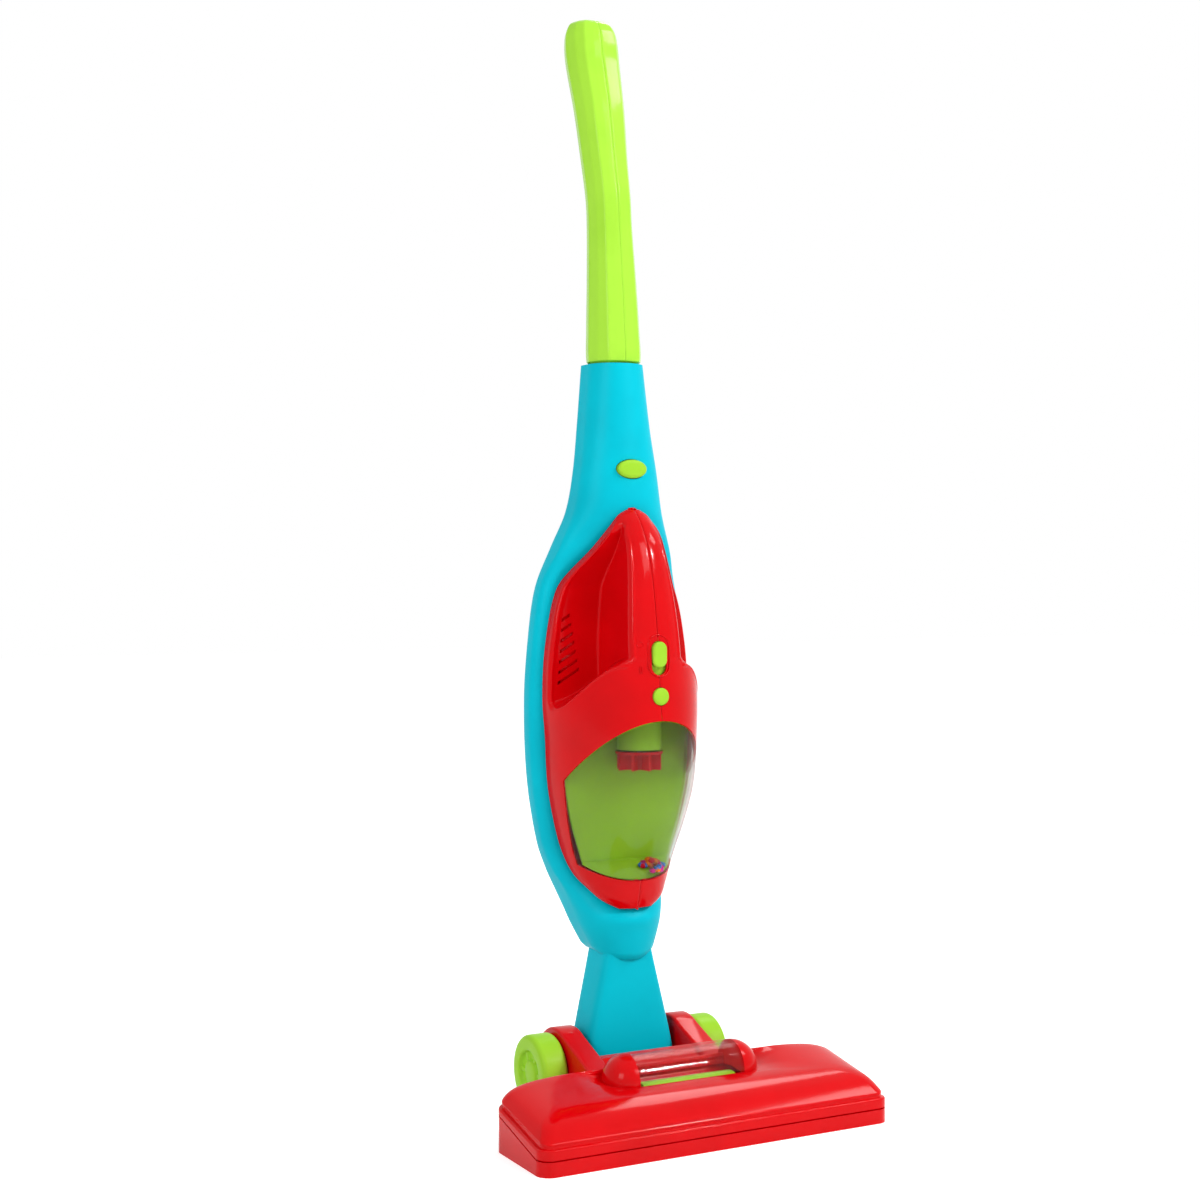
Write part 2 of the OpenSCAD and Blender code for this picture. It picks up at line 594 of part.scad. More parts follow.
// Handheld: shares of its length, then of half width and of depth in front of the parting plane
hand_shares = [
    [0, 0.25, 0.492], [0.013, 0.37, 0.508], [0.026, 0.45, 0.524], [0.052, 0.55, 0.548], [0.069, 0.61, 0.563],
    [0.103, 0.685, 0.61], [0.197, 0.825, 0.778], [0.305, 0.928, 0.937], [0.429, 0.965, 0.976], [0.532, 1, 0.929],
    [0.665, 0.956, 0.881], [0.803, 0.797, 0.802], [0.91, 0.45, 0.683], [0.966, 0.27, 0.556], [0.988, 0.19, 0.48], [1, 0.09, 0.43]];
function hand_share(z, k) = curve((z - hand_z) / hand_h, [for (r = hand_shares) [r[0], r[k]]]);
function hand_a(z) = hand_half_w * hand_share(z, 1);
function hand_front(z) = axle_y + parting_y - hand_d * hand_share(z, 2);
function hand_back(z) = min(front_face_y(z), front_face_y(z - wall), front_face_y(z + wall)) - cradle_clearance;

// Half outline of a full section: a quarter ellipse from the front seam to the rear edge
function oval_point(q, z, inset) = let (f = hand_front(z) + inset, b = hand_back(z) - inset)
    [max(seam_gap, (hand_a(z) - inset) * sin(q)), b - (b - f) * cos(q)];

// The wall thins towards both tips, where the section is small
vac_wall = 1.6;
thin_share = 0.28;
function wall_at(z) = min(vac_wall, thin_share * hand_a(z), thin_share * (hand_back(z) - hand_front(z)));

// Half outline through the finger pocket: spine front, spine side, pocket wall and plate edge
spine_round = 4;
round_share = 0.3;
spine_foot_share = 0.82;
spine_taper_share = 0.35;
spine_edge_share = 0.9;
spine_end_share = 0.3;
side_end_share = 0.6;
panel_end_share = 0.9;
function spine_a(z) = min(hand_a(z) * spine_edge_share,
    spine_half_w * (1 - spine_taper_share * smooth_step((z - switch_z) / (hand_z + hand_h - switch_z))));
function pocket_point(s, z, inset) =
    let (f = hand_front(z) + inset, b = hand_back(z) - inset, a = hand_a(z) - inset, h = spine_a(z) - inset,
         r = min(spine_round, round_share * (b - f)), p = max(f + r, b - pocket_plate_t + 2 * inset))
    s < spine_end_share ? let (u = s / spine_end_share) [max(seam_gap, h * u), f + r * u * u * u] :
    s < side_end_share ? let (u = (s - spine_end_share) / (side_end_share - spine_end_share))
        [h * (1 - u * (1 - spine_foot_share)), f + r + u * (p - f - r)] :
    s < panel_end_share ? let (u = (s - side_end_share) / (panel_end_share - side_end_share))
        [h * spine_foot_share + u * (a - h * spine_foot_share), p] :
    let (u = (s - panel_end_share) / (1 - panel_end_share)) [a, p + u * (b - p)];

// The pocket's floor slopes down from the spine to the rear edge
ledge_front_drop = 7;
ledge_rear_drop = 10;
ledge_front_z = switch_z - ledge_front_drop;
ledge_rear_z = button_z - ledge_rear_drop;
ledge_w = 6;
function ledge_z(s) = ledge_front_z - (ledge_front_z - ledge_rear_z)
    * smooth_step((s - spine_end_share) / (panel_end_share - spine_end_share));
tip_plain = 2;
tip_fade = 14;
function pocket_mix(s, z) = smooth_step((z - ledge_z(s)) / ledge_w) * smooth_step((hand_z + hand_h - tip_plain - z) / tip_fade);
function hand_point(s, z, inset) =
    let (m = pocket_mix(s, z), o = oval_point(90 * s, z, inset), p = pocket_point(s, z, inset))
    [o[0] + m * (p[0] - o[0]), o[1] + m * (p[1] - o[1]), z];

// Dust cup: its edge on the section, as an angle from the front, and its arch and lower edge
cup_depth_share = 0.92;
cup_edge = acos(cup_strip_d / (hand_d * cup_depth_share));
cup_sill = 9;
function arch_z(q) = cup_corner_z + cup_arch_rise * (cos(q) - cos(cup_edge)) / (1 - cos(cup_edge));
function sill_z(q) = cup_floor_z + cup_sill * pow(q / cup_edge, 2);
function cup_start(z) =
    z >= cup_corner_z + cup_arch_rise || z <= cup_floor_z ? 0 :
    z > cup_corner_z ? acos(cos(cup_edge) + (1 - cos(cup_edge)) * (z - cup_corner_z) / cup_arch_rise) :
    z > cup_floor_z + cup_sill ? cup_edge : cup_edge * sqrt((z - cup_floor_z) / cup_sill);

hand_cols = 20;
back_cols = 2;
tip_wall = 0.4;
tip_shares = [0, 0.013, 0.026, 0.045, 0.062];
hand_top_z = hand_z + hand_h;
arch_top_z = cup_corner_z + cup_arch_rise;
low_zs = concat([for (t = tip_shares) hand_z + t * hand_h],
    [for (i = [0 : 4]) cup_floor_z + cup_sill * pow(i / 4, 2)],
    [for (i = [1 : 4]) cup_floor_z + cup_sill + (cup_corner_z - cup_floor_z - cup_sill) * i / 4],
    [for (i = [1 : 6]) cup_corner_z + cup_arch_rise * (1 - pow(1 - i / 6, 2))]);
below_rows = 3;
ledge_rows = 5;
above_rows = 9;
// Heights of a column: level rows up to the arch, then rows that follow the pocket's floor
function column_zs(s) = let (low = ledge_z(s), high = low + ledge_w)
    concat(low_zs, [for (i = [1 : below_rows]) arch_top_z + (low - arch_top_z) * i / below_rows],
           [for (i = [1 : ledge_rows]) low + ledge_w * i / ledge_rows],
           [for (i = [1 : above_rows]) high + (hand_top_z - high) * i / above_rows]);
vac_row_count = len(low_zs) + below_rows + ledge_rows + above_rows;
column_table = [for (j = [0 : hand_cols]) column_zs(j / hand_cols)];
function vac_point(i, j, depth) =
    let (z = column_table[min(j, hand_cols)][i], inset = depth * wall_at(z), s0 = cup_start(z) / 90,
         zi = hand_z + depth * tip_wall + (z - hand_z) * (1 - 2 * depth * tip_wall / hand_h))
    j <= hand_cols ? let (p = hand_point(s0 + (1 - s0) * j / hand_cols, z, inset)) [p[0], p[1], zi]
        : [max(seam_gap, (hand_a(z) - inset) * (1 - (j - hand_cols) / back_cols)), hand_back(z) - inset, zi];
function vac_rows(depth) =
    [for (i = [0 : vac_row_count - 1]) [for (j = [0 : hand_cols + back_cols]) vac_point(i, j, depth)]];

module vac_half() patch_shell(vac_rows(0), vac_rows(1), true);

switch_w = 9;
switch_len = 15;
switch_y = hand_front(switch_z);
button_y = hand_front(button_z);
button_stand = 1.2;
cell_d = 14.2;
cell_len = 50;
cell_drop = 5;
cell_z = button_z + button_d - cell_drop;
door_w = 26;
door_screw_room = 14;
door_h = cell_len + door_screw_room;
door_t = vac_wall;
door_z = cell_z + cell_len - door_h / 2;
door_clear = 0.3;
door_y = hand_back(door_z);
module front_cuts() {
    oval_post(switch_w + 2 * slide_clearance, switch_len + switch_travel + 2 * slide_clearance,
                  switch_y - 2 * wall, switch_y + 2 * wall, switch_z - switch_travel / 2);
    oval_post(button_d + 2 * slide_clearance, button_d + 2 * slide_clearance,
              button_y - 2 * wall, button_y + 3 * wall, button_z);
    translate([-door_w / 2 - door_clear, door_y - 2 * wall, door_z - door_h / 2 - door_clear])
        cube([door_w + 2 * door_clear, 4 * wall, door_h + 2 * door_clear]);
}

// An upright oval in X and Z carried along Y
module oval_post(w, h, y0, y1, z) {
    translate([0, y1, z]) rotate([90, 0, 0]) linear_extrude(height = y1 - y0) {
        if (h > w) square([w, h - w], center = true);
        for (sz = [-1, 1]) translate([0, sz * (h - w) / 2]) circle(d = w);
    }
}
module vac_right_shell() color(red) difference() {
    vac_half();
    front_cuts();
}
module vac_left_shell() color(red) mirror([1, 0, 0]) difference() {
    vac_half();
    front_cuts();
}

cup_cols = 24;
cup_rows = 10;
cup_gap_share = 0.99;
function cup_grid(inset) = [for (i = [0 : cup_rows]) [for (j = [0 : cup_cols])
    let (q = cup_gap_share * cup_edge * (2 * j / cup_cols - 1), v = i / cup_rows,
         low = sill_z(abs(q)) + slide_clearance, high = arch_z(abs(q)) - 2 * slide_clearance,
         z = low + v * (high - low), p = oval_point(abs(q), z, inset))
    [sign(q) * (p[0] - (abs(q) == 0 ? p[0] : 0)), p[1], z]]];
module dust_cup() color("lightgrey", 0.4) patch_shell(cup_grid(0), cup_grid(cup_t), true);

// Inside the handheld: a lime liner behind the cup, the motor drive, cells and board
motor_line_y = axle_y - motor_y;
liner_t = 2;
liner_y = axle_y + parting_y - cup_strip_d;
liner_low_z = cup_floor_z + cup_sill;
deck_z = arch_top_z - wall;
deck_half_w = spine_half_w + wall;
deck_front_y = motor_line_y - motor_cover_r - wall;
liner_steps = 6;
floor_steps = 16;
floor_angle = 66;
function liner_half_w(z) = let (b = hand_back(z), c = (b - liner_y) / (b - hand_front(z)))
    (hand_a(z) - vac_wall) * sqrt(1 - c * c) - slide_clearance;
function liner_side(side) = [for (i = [0 : liner_steps])
    let (z = liner_low_z + (cup_corner_z - liner_low_z) * i / liner_steps) [side * liner_half_w(z), z]];
function floor_edge() = [for (i = [0 : floor_steps]) let (q = floor_angle * (2 * i / floor_steps - 1),
        p = oval_point(abs(q), liner_low_z, cup_t + slide_clearance)) [sign(q) * p[0], p[1]]];
module cup_liner() color(lime) difference() {
    union() {
        translate([0, liner_y + liner_t, 0]) rotate([90, 0, 0]) linear_extrude(height = liner_t)
            polygon(concat(liner_side(1), [[deck_half_w, deck_z + liner_t], [-deck_half_w, deck_z + liner_t]],
                           [for (i = [liner_steps : -1 : 0]) liner_side(-1)[i]]));
        translate([-deck_half_w, deck_front_y, deck_z]) cube([2 * deck_half_w, liner_y - deck_front_y + overrun, liner_t]);
        translate([0, 0, liner_low_z]) linear_extrude(height = liner_t)
            polygon(concat([[floor_edge()[0][0], liner_y + overrun]], floor_edge(),
                           [[floor_edge()[floor_steps][0], liner_y + overrun]]));
    }
    translate([0, motor_line_y, deck_z - overrun]) cylinder(r = motor_r + slide_clearance, h = liner_t + 2 * overrun);
}

motor_r = 10;
motor_h = 25;
motor_z = motor_cover_z + wall;
boss_r = 3;
module motor_cover() color(lime) translate([0, motor_line_y, motor_cover_z]) difference() {
    cylinder(r = motor_cover_r, h = deck_z - motor_cover_z);
    translate([0, 0, wall]) cylinder(r = motor_r + slide_clearance, h = deck_z);
    translate([0, 0, -overrun]) cylinder(r = boss_r + slide_clearance, h = wall + 2 * overrun);
}
module motor() color(steel) translate([0, motor_line_y, motor_z]) difference() {
    cylinder(r = motor_r, h = motor_h);
    translate([0, 0, -overrun]) cylinder(d = shaft_d + 2 * turn_clearance, h = shaft_grip + overrun);
}
shaft_grip = 8;
fan_gap = 1;
fan_top_z = motor_cover_z - fan_gap;
module motor_shaft() color(steel) translate([0, motor_line_y, fan_top_z - fan_h])
    cylinder(d = shaft_d, h = fan_h + fan_gap + wall + shaft_grip - slide_clearance);

blade_t = 1.6;
hub_wall_share = 0.34;
module fan() color(red) translate([0, motor_line_y, fan_top_z - fan_h]) difference() {
    union() {
        cylinder(r = fan_r * hub_wall_share, h = fan_h);
        translate([0, 0, fan_h - blade_t]) cylinder(r = fan_r, h = blade_t);
        for (k = [0 : fan_blades - 1]) rotate([0, 0, 360 * k / fan_blades])
            translate([0, -blade_t / 2, 0]) cube([fan_r - blade_t / 2, blade_t, fan_h - blade_t / 2]);
    }
    translate([0, 0, -overrun]) cylinder(d = shaft_d, h = fan_h + 2 * overrun);
}

// Loose bits lie on the cup's floor, to the right of its front
bit_rows = 3;
bit_cols = 4;
bit_size = 3.4;
bit_pitch = 4.4;
bit_x = 7;
bit_turn = 40;
bit_z = liner_low_z + liner_t + seam_gap;
bit_y = hand_front(liner_low_z) + cup_t + 2 * bit_size;
bit_colors = ["crimson", "magenta", "royalblue", "orange"];
module confetti() for (i = [0 : bit_cols - 1]) for (k = [0 : bit_rows - 1])
    color(bit_colors[(i + k) % len(bit_colors)])
        translate([bit_x + (i - bit_cols / 2) * bit_pitch, bit_y + k * bit_pitch, bit_z])
            rotate([0, 0, bit_turn * (i + 2 * k)]) cylinder(d = bit_size, h = bit_size / 2, $fn = 6);

// Controls on the front of the handheld
switch_stand = 2.2;
flange_t = 1.2;
flange_room = 1.4;
switch_seat_y = switch_y + vac_wall + flange_room + flange_t;
module slide_switch() color(lime) {
    oval_post(switch_w, switch_len, switch_y - switch_stand, switch_seat_y, switch_z);
    oval_post(switch_w + 2 * wall, switch_len + 2 * wall, switch_seat_y - flange_t, switch_seat_y, switch_z);
}
board_t = 1.6;
board_share = 0.55;
board_half_w = spine_half_w * board_share;
board_y = switch_seat_y + slide_clearance;
board_low_z = button_z - button_d / 2;
board_high_z = switch_z + switch_len / 2 + wall;
module switch_board() color("darkgreen") translate([-board_half_w, board_y, board_low_z])
    cube([2 * board_half_w, board_t, board_high_z - board_low_z]);
button_seat_y = button_y + vac_wall + flange_room + flange_t;
button_spring_len = board_y - button_seat_y;
module round_button() color(lime) {
    oval_post(button_d, button_d, button_y - button_stand, button_seat_y, button_z);
    oval_post(button_d + wall, button_d + wall, button_seat_y - flange_t, button_seat_y, button_z);
}
module button_spring() color(steel) translate([0, board_y, button_z]) rotate([90, 0, 0]) difference() {
    cylinder(d = button_d / 2, h = button_spring_len);
    translate([0, 0, -overrun]) cylinder(d = button_d / 4, h = button_spring_len + 2 * overrun);
}

// Two cells stand one behind the other in a box in the spine, behind a screwed door
contact_t = 0.8;
box_wall = 1.2;
box_half_w = cell_d / 2 + slide_clearance + box_wall;
box_rear_y = door_y - door_t - slide_clearance;
box_flange = 3;
cell_back_y = box_rear_y - slide_clearance - cell_d / 2;
cell_front_y = cell_back_y - cell_d - slide_clearance;
box_front_y = cell_front_y - cell_d / 2 - slide_clearance - box_wall;
box_low_z = cell_z - contact_t - box_wall;
box_high_z = cell_z + cell_len + contact_t + box_wall;
door_low_z = door_z - door_h / 2;
door_boss_h = 2.4;
door_boss_d = screw_head_d + 2 * slide_clearance + wall;
door_screw_z = door_low_z + boss_d / 2;
door_screw_len = 7;
web_half_w = 3;
web_low_z = box_low_z + box_wall;
module batteries() color("dimgray") for (y = [cell_back_y, cell_front_y])
    translate([0, y, cell_z]) cylinder(d = cell_d, h = cell_len);
module battery_contacts() color(steel) for (z = [cell_z - contact_t, cell_z + cell_len])
    translate([-cell_d / 4, cell_front_y - cell_d / 4, z]) cube([cell_d / 2, cell_back_y - cell_front_y + cell_d / 2, contact_t]);
module battery_box() color(red) difference() {
    union() {
        translate([-box_half_w, box_front_y, box_low_z])
            cube([2 * box_half_w, box_rear_y - box_front_y, box_high_z - box_low_z]);
        translate([-door_w / 2 - box_flange, box_rear_y - box_wall, door_low_z - box_flange])
            cube([door_w + 2 * box_flange, box_wall, box_high_z - door_low_z + box_flange]);
        translate([-boss_d / 2 - box_wall, box_rear_y - door_boss_h - door_screw_len, door_low_z - box_flange])
            cube([boss_d + 2 * box_wall, door_boss_h + door_screw_len, box_low_z - door_low_z + box_flange]);
        translate([-web_half_w, board_y + board_t, web_low_z])
            cube([2 * web_half_w, box_front_y - board_y - board_t + overrun, board_high_z - web_low_z]);
    }
    translate([box_wall - box_half_w, box_front_y + box_wall, box_low_z + box_wall])
        cube([2 * (box_half_w - box_wall), box_rear_y - box_front_y, box_high_z - box_low_z - 2 * box_wall]);
    translate([0, box_rear_y + overrun, door_screw_z]) rotate([90, 0, 0])
        cylinder(d = door_boss_d + 2 * slide_clearance, h = door_boss_h + overrun);
    translate([0, box_rear_y, door_screw_z]) rotate([90, 0, 0]) cylinder(d = screw_d, h = 2 * door_screw_len);
}
module battery_door() color(red) translate([0, door_y, 0]) difference() {
    union() {
        translate([-door_w / 2, -door_t, door_low_z]) cube([door_w, door_t, door_h]);
        translate([0, 0, door_screw_z]) rotate([90, 0, 0]) cylinder(d = door_boss_d, h = door_t + door_boss_h);
    }
    translate([0, overrun, door_screw_z]) rotate([90, 0, 0])
        cylinder(d = screw_head_d + 2 * slide_clearance, h = door_boss_h + overrun);
    translate([0, overrun, door_screw_z]) rotate([90, 0, 0])
        cylinder(d = screw_d + 2 * turn_clearance, h = 4 * door_boss_h);
}
module door_screw() color(steel) translate([0, door_y - door_boss_h + screw_head_h, door_screw_z]) rotate([90, 0, 0])
    screw(door_screw_len);

head_base();
head_top_cover();
head_window();
left_cheek();
right_cheek();
wheel_axle();
left_wheel();
right_wheel();
brush_roller();
roller_pin();
head_screws();
neck_front();
neck_rear();
neck_pivot();
body_front_shell();
body_rear_shell();
body_screws();
handle_left_half();
handle_right_half();
release_button();
release_spring();
body_bosses();
vac_left_shell();
vac_right_shell();
dust_cup();
window_end_domes();
cover_bosses();
cup_liner();
motor_cover();
motor();
motor_shaft();
fan();
confetti();
slide_switch();
switch_board();
round_button();
button_spring();
batteries();
battery_contacts();
battery_box();
battery_door();
door_screw();
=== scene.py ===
import bpy
import numpy as np
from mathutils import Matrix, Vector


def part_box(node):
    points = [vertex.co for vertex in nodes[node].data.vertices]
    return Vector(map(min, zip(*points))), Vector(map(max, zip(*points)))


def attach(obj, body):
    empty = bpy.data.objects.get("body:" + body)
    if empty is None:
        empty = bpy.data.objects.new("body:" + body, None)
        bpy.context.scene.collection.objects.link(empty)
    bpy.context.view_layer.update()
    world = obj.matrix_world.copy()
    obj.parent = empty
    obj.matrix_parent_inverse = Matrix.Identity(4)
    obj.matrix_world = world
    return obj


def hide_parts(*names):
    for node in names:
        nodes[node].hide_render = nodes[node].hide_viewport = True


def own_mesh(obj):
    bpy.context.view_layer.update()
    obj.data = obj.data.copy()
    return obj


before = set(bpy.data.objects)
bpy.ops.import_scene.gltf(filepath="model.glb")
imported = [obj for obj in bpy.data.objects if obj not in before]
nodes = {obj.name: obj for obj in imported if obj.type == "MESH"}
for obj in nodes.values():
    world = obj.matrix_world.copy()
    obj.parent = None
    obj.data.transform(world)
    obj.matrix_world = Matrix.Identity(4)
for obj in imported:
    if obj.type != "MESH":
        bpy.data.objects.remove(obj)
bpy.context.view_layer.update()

mm = 0.001
sharpAngle = np.radians(38)


# colour text such as "#d80a10" to linear RGBA: each channel c becomes ((c + 0.055) / 1.055) ^ 2.4,
# or c / 12.92 when dark
def linear(hexText):
    c = np.array([int(hexText[i:i + 2], 16) for i in (1, 3, 5)]) / 255.0
    c = np.where(c <= 0.04045, c / 12.92, ((c + 0.055) / 1.055) ** 2.4)
    return (float(c[0]), float(c[1]), float(c[2]), 1.0)


# a smooth curve through (place, value) rows: cubic Hermite pieces whose slopes join each row's neighbours
def curve(t, places, values):
    p, v = np.asarray(places, float), np.asarray(values, float)
    slope = np.empty_like(v)
    slope[1:-1] = (v[2:] - v[:-2]) / (p[2:] - p[:-2])
    slope[0] = (v[1] - v[0]) / (p[1] - p[0])
    slope[-1] = (v[-1] - v[-2]) / (p[-1] - p[-2])
    i = np.clip(np.searchsorted(p, t, side="right") - 1, 0, len(p) - 2)
    h = p[i + 1] - p[i]
    u = np.clip((t - p[i]) / h, 0, 1)
    return (v[i] * (1 + 2 * u) * (1 - u) ** 2 + slope[i] * h * u * (1 - u) ** 2
            + v[i + 1] * u * u * (3 - 2 * u) + slope[i + 1] * h * u * u * (u - 1))


# 0 before 0, 1 after 1, and 3u^2 - 2u^3 between
def smoothStep(t):
    u = np.clip(t, 0, 1)
    return u * u * (3 - 2 * u)


# |v|^e with the sign of v kept
def raised(v, e):
    return np.sign(v) * np.abs(v) ** e


# exp(-((v - at) / width)^2)
def bell(v, at, width):
    return np.exp(-((v - at) / width) ** 2)


# the angles of a full turn in equal steps, as a row
def fullTurn(steps):
    return np.linspace(0, 2 * np.pi, steps + 1)[None, :-1]


# running mean of five neighbours along the columns, weighted 1 2 3 2 1, with the two ends held
def softened(points, rounds):
    p = points.copy()
    for _ in range(rounds):
        q = np.pad(p, ((0, 0), (2, 2), (0, 0)), mode="edge")
        mean = (q[:, :-4] + 2 * q[:, 1:-3] + 3 * q[:, 2:-2] + 2 * q[:, 3:-1] + q[:, 4:]) / 9
        p[:, 1:-1] = mean[:, 1:-1]
    return p


# quads of a grid of rows by columns; a closed grid joins its last column to its first
def gridQuads(rows, cols, closed):
    i, j = np.meshgrid(np.arange(rows - 1), np.arange(cols if closed else cols - 1), indexing="ij")
    k = (j + 1) % cols
    corners = [i * cols + j, i * cols + k, (i + 1) * cols + k, (i + 1) * cols + j]
    return np.stack(corners, axis=-1).reshape(-1, 4)


# a mesh from a grid of points in mm; faces are turned so that they look away from the grid's middle
def gridPiece(name, points, closed=False, thickness=0.0, turn=None, capEnds=False):
    rows, cols, _ = points.shape
    flat = points.reshape(-1, 3) * mm
    quads = gridQuads(rows, cols, closed)
    a, b, c = flat[quads[:, 0]], flat[quads[:, 1]], flat[quads[:, 2]]
    outward = np.sum(np.cross(b - a, c - a) * (a - flat.mean(axis=0)))
    flip = outward < 0 if turn is None else turn
    if flip:
        quads = quads[:, ::-1]
    faces = quads.tolist()
    if capEnds:
        first, last = list(range(cols)), list(range((rows - 1) * cols, rows * cols))
        faces += [first if flip else first[::-1], last[::-1] if flip else last]
    mesh = bpy.data.meshes.new(name)
    mesh.from_pydata(flat.tolist(), [], faces)
    mesh.polygons.foreach_set("use_smooth", np.ones(len(faces), bool))
    mesh.update()
    piece = bpy.data.objects.new(name, mesh)
    bpy.context.scene.collection.objects.link(piece)
    if thickness:
        skin = piece.modifiers.new("wall", "SOLIDIFY")
        skin.thickness, skin.offset = thickness * mm, -1
        settle(piece)
        piece.data.set_sharp_from_angle(angle=sharpAngle)
    return piece


# applies what modifiers a piece has to its mesh
def settle(piece):
    seen = piece.evaluated_get(bpy.context.evaluated_depsgraph_get())
    done = bpy.data.meshes.new_from_object(seen)
    piece.modifiers.clear()
    piece.data = done


# cuts a piece by closed cutters, which are then removed
def cutBy(piece, cutters):
    for cutter in cutters:
        cut = piece.modifiers.new("cut", "BOOLEAN")
        cut.operation, cut.object, cut.solver = "DIFFERENCE", cutter, "EXACT"
    settle(piece)
    piece.data.set_sharp_from_angle(angle=sharpAngle)
    for cutter in cutters:
        bpy.data.objects.remove(cutter)


# gives a piece its material and its body, and hides the nodes it stands for; the slot is not used
def place(piece, material, rider, slot, *stands):
    piece.data.materials.clear()
    piece.data.materials.append(material)
    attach(piece, rider)
    if stands:
        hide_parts(*stands)
    return piece


# materials


# adds one node with its settings and input values, and links (input name: output socket)
def addNode(tree, kind, settings=None, values=None, links=None):
    node = tree.nodes.new(kind)
    for key, value in (settings or {}).items():
        setattr(node, key, value)
    for key, value in (values or {}).items():
        node.inputs[key].default_value = value
    for key, socket in (links or {}).items():
        tree.links.new(socket, node.inputs[key])
    return node


# a new material and its node tree, emptied
def bareMaterial(name):
    material = bpy.data.materials.new(name)
    material.use_nodes = True
    material.node_tree.nodes.clear()
    return material, material.node_tree


# moulded plastic: colour that drifts over centimetres, a gloss that drifts with it and a fine tool texture
def mouldedPlastic(name, look):
    material, tree = bareMaterial(name)
    spot = addNode(tree, "ShaderNodeTexCoord").outputs["Object"]
    drift = addNode(tree, "ShaderNodeTexNoise", values={"Scale": 1 / (look["driftMm"] * mm), "Detail": 3.0},
                    links={"Vector": spot}).outputs["Fac"]
    grain = addNode(tree, "ShaderNodeTexNoise", values={"Scale": 1 / (look["grainMm"] * mm), "Detail": 2.0},
                    links={"Vector": spot}).outputs["Fac"]
    tint = addNode(tree, "ShaderNodeValToRGB", links={"Fac": drift})
    tint.color_ramp.elements[0].position, tint.color_ramp.elements[1].position = look["driftRange"]
    colour = addNode(tree, "ShaderNodeMix", {"data_type": "RGBA"},
                     {"A": linear(look["shade"]), "B": linear(look["colour"])},
                     {"Factor": tint.outputs["Color"]})
    span = {"To Min": look["rough"] - look["roughSpread"], "To Max": look["rough"] + look["roughSpread"]}
    gloss = addNode(tree, "ShaderNodeMapRange", values=span, links={"Value": drift})
    relief = {"Strength": look["bump"], "Distance": look["bumpMm"] * mm}
    bump = addNode(tree, "ShaderNodeBump", values=relief, links={"Height": grain})
    shader = addNode(tree, "ShaderNodeBsdfPrincipled",
                     values={"IOR": look["ior"], "Specular IOR Level": look["shine"]},
                     links={"Base Color": colour.outputs["Result"], "Roughness": gloss.outputs["Result"],
                            "Normal": bump.outputs["Normal"]})
    addNode(tree, "ShaderNodeOutputMaterial", links={"Surface": shader.outputs["BSDF"]})
    return material


# clear moulded polystyrene: a thin grey wall that hardly bends the light, under a glossy coat
def clearPlastic(name, look):
    material, tree = bareMaterial(name)
    spot = addNode(tree, "ShaderNodeTexCoord").outputs["Object"]
    wave = addNode(tree, "ShaderNodeTexNoise", values={"Scale": 1 / (look["waveMm"] * mm), "Detail": 2.0},
                   links={"Vector": spot}).outputs["Fac"]
    span = {"To Min": look["rough"], "To Max": look["rough"] * 2}
    gloss = addNode(tree, "ShaderNodeMapRange", values=span, links={"Value": wave})
    relief = {"Strength": look["bump"], "Distance": look["bumpMm"] * mm}
    bump = addNode(tree, "ShaderNodeBump", values=relief, links={"Height": wave})
    shader = addNode(tree, "ShaderNodeBsdfPrincipled",
                     values={"Base Color": linear(look["colour"]), "IOR": look["ior"],
                             "Transmission Weight": look["through"], "Alpha": look["alpha"],
                             "Coat Weight": look["coat"], "Coat IOR": look["coatIor"],
                             "Coat Roughness": look["rough"]},
                     links={"Roughness": gloss.outputs["Result"], "Normal": bump.outputs["Normal"]})
    addNode(tree, "ShaderNodeOutputMaterial", links={"Surface": shader.outputs["BSDF"]})
    return material


# drawn steel: grey metal whose gloss is broken up by fine marks
def drawnSteel(name, look):
    material, tree = bareMaterial(name)
    spot = addNode(tree, "ShaderNodeTexCoord").outputs["Object"]
    lines = addNode(tree, "ShaderNodeTexNoise", values={"Scale": 1 / (look["lineMm"] * mm), "Detail": 3.0},
                    links={"Vector": spot}).outputs["Fac"]
    span = {"To Min": look["rough"], "To Max": look["rough"] + look["roughSpread"]}
    gloss = addNode(tree, "ShaderNodeMapRange", values=span, links={"Value": lines})
    shader = addNode(tree, "ShaderNodeBsdfPrincipled",
                     values={"Base Color": linear(look["colour"]), "Metallic": 1.0},
                     links={"Roughness": gloss.outputs["Result"]})
    addNode(tree, "ShaderNodeOutputMaterial", links={"Surface": shader.outputs["BSDF"]})
    return material


# polished tool: ABS with sharp lamp reflections; textured tool: satin ABS with broad soft ones
glossy = {"driftMm": 38, "driftRange": (0.35, 0.6), "grainMm": 1.3, "rough": 0.11, "roughSpread": 0.02,
          "bump": 0.04, "bumpMm": 0.05, "ior": 1.53, "shine": 0.11}
satin = {"driftMm": 45, "driftRange": (0.35, 0.6), "grainMm": 0.6, "rough": 0.42, "roughSpread": 0.05,
         "bump": 0.1, "bumpMm": 0.06, "ior": 1.5, "shine": 0.06}
clear = {"colour": "#a4a698", "waveMm": 25, "rough": 0.02, "bump": 0.02, "bumpMm": 0.2, "ior": 1.02,
         "through": 1.0, "alpha": 0.5, "coat": 0.45, "coatIor": 1.55}
redAbs = mouldedPlastic("red polished ABS", {**glossy, "colour": "#d8020a", "shade": "#cf0208"})
cyanAbs = mouldedPlastic("cyan satin ABS", {**satin, "colour": "#00c2d6", "shade": "#00b9cd"})
limeAbs = mouldedPlastic("lime polished ABS", {**glossy, "colour": "#abe640", "shade": "#a4e03a"})
limeSatin = mouldedPlastic("lime satin ABS", {**satin, "colour": "#a2d838", "shade": "#9ad030", "rough": 0.3})
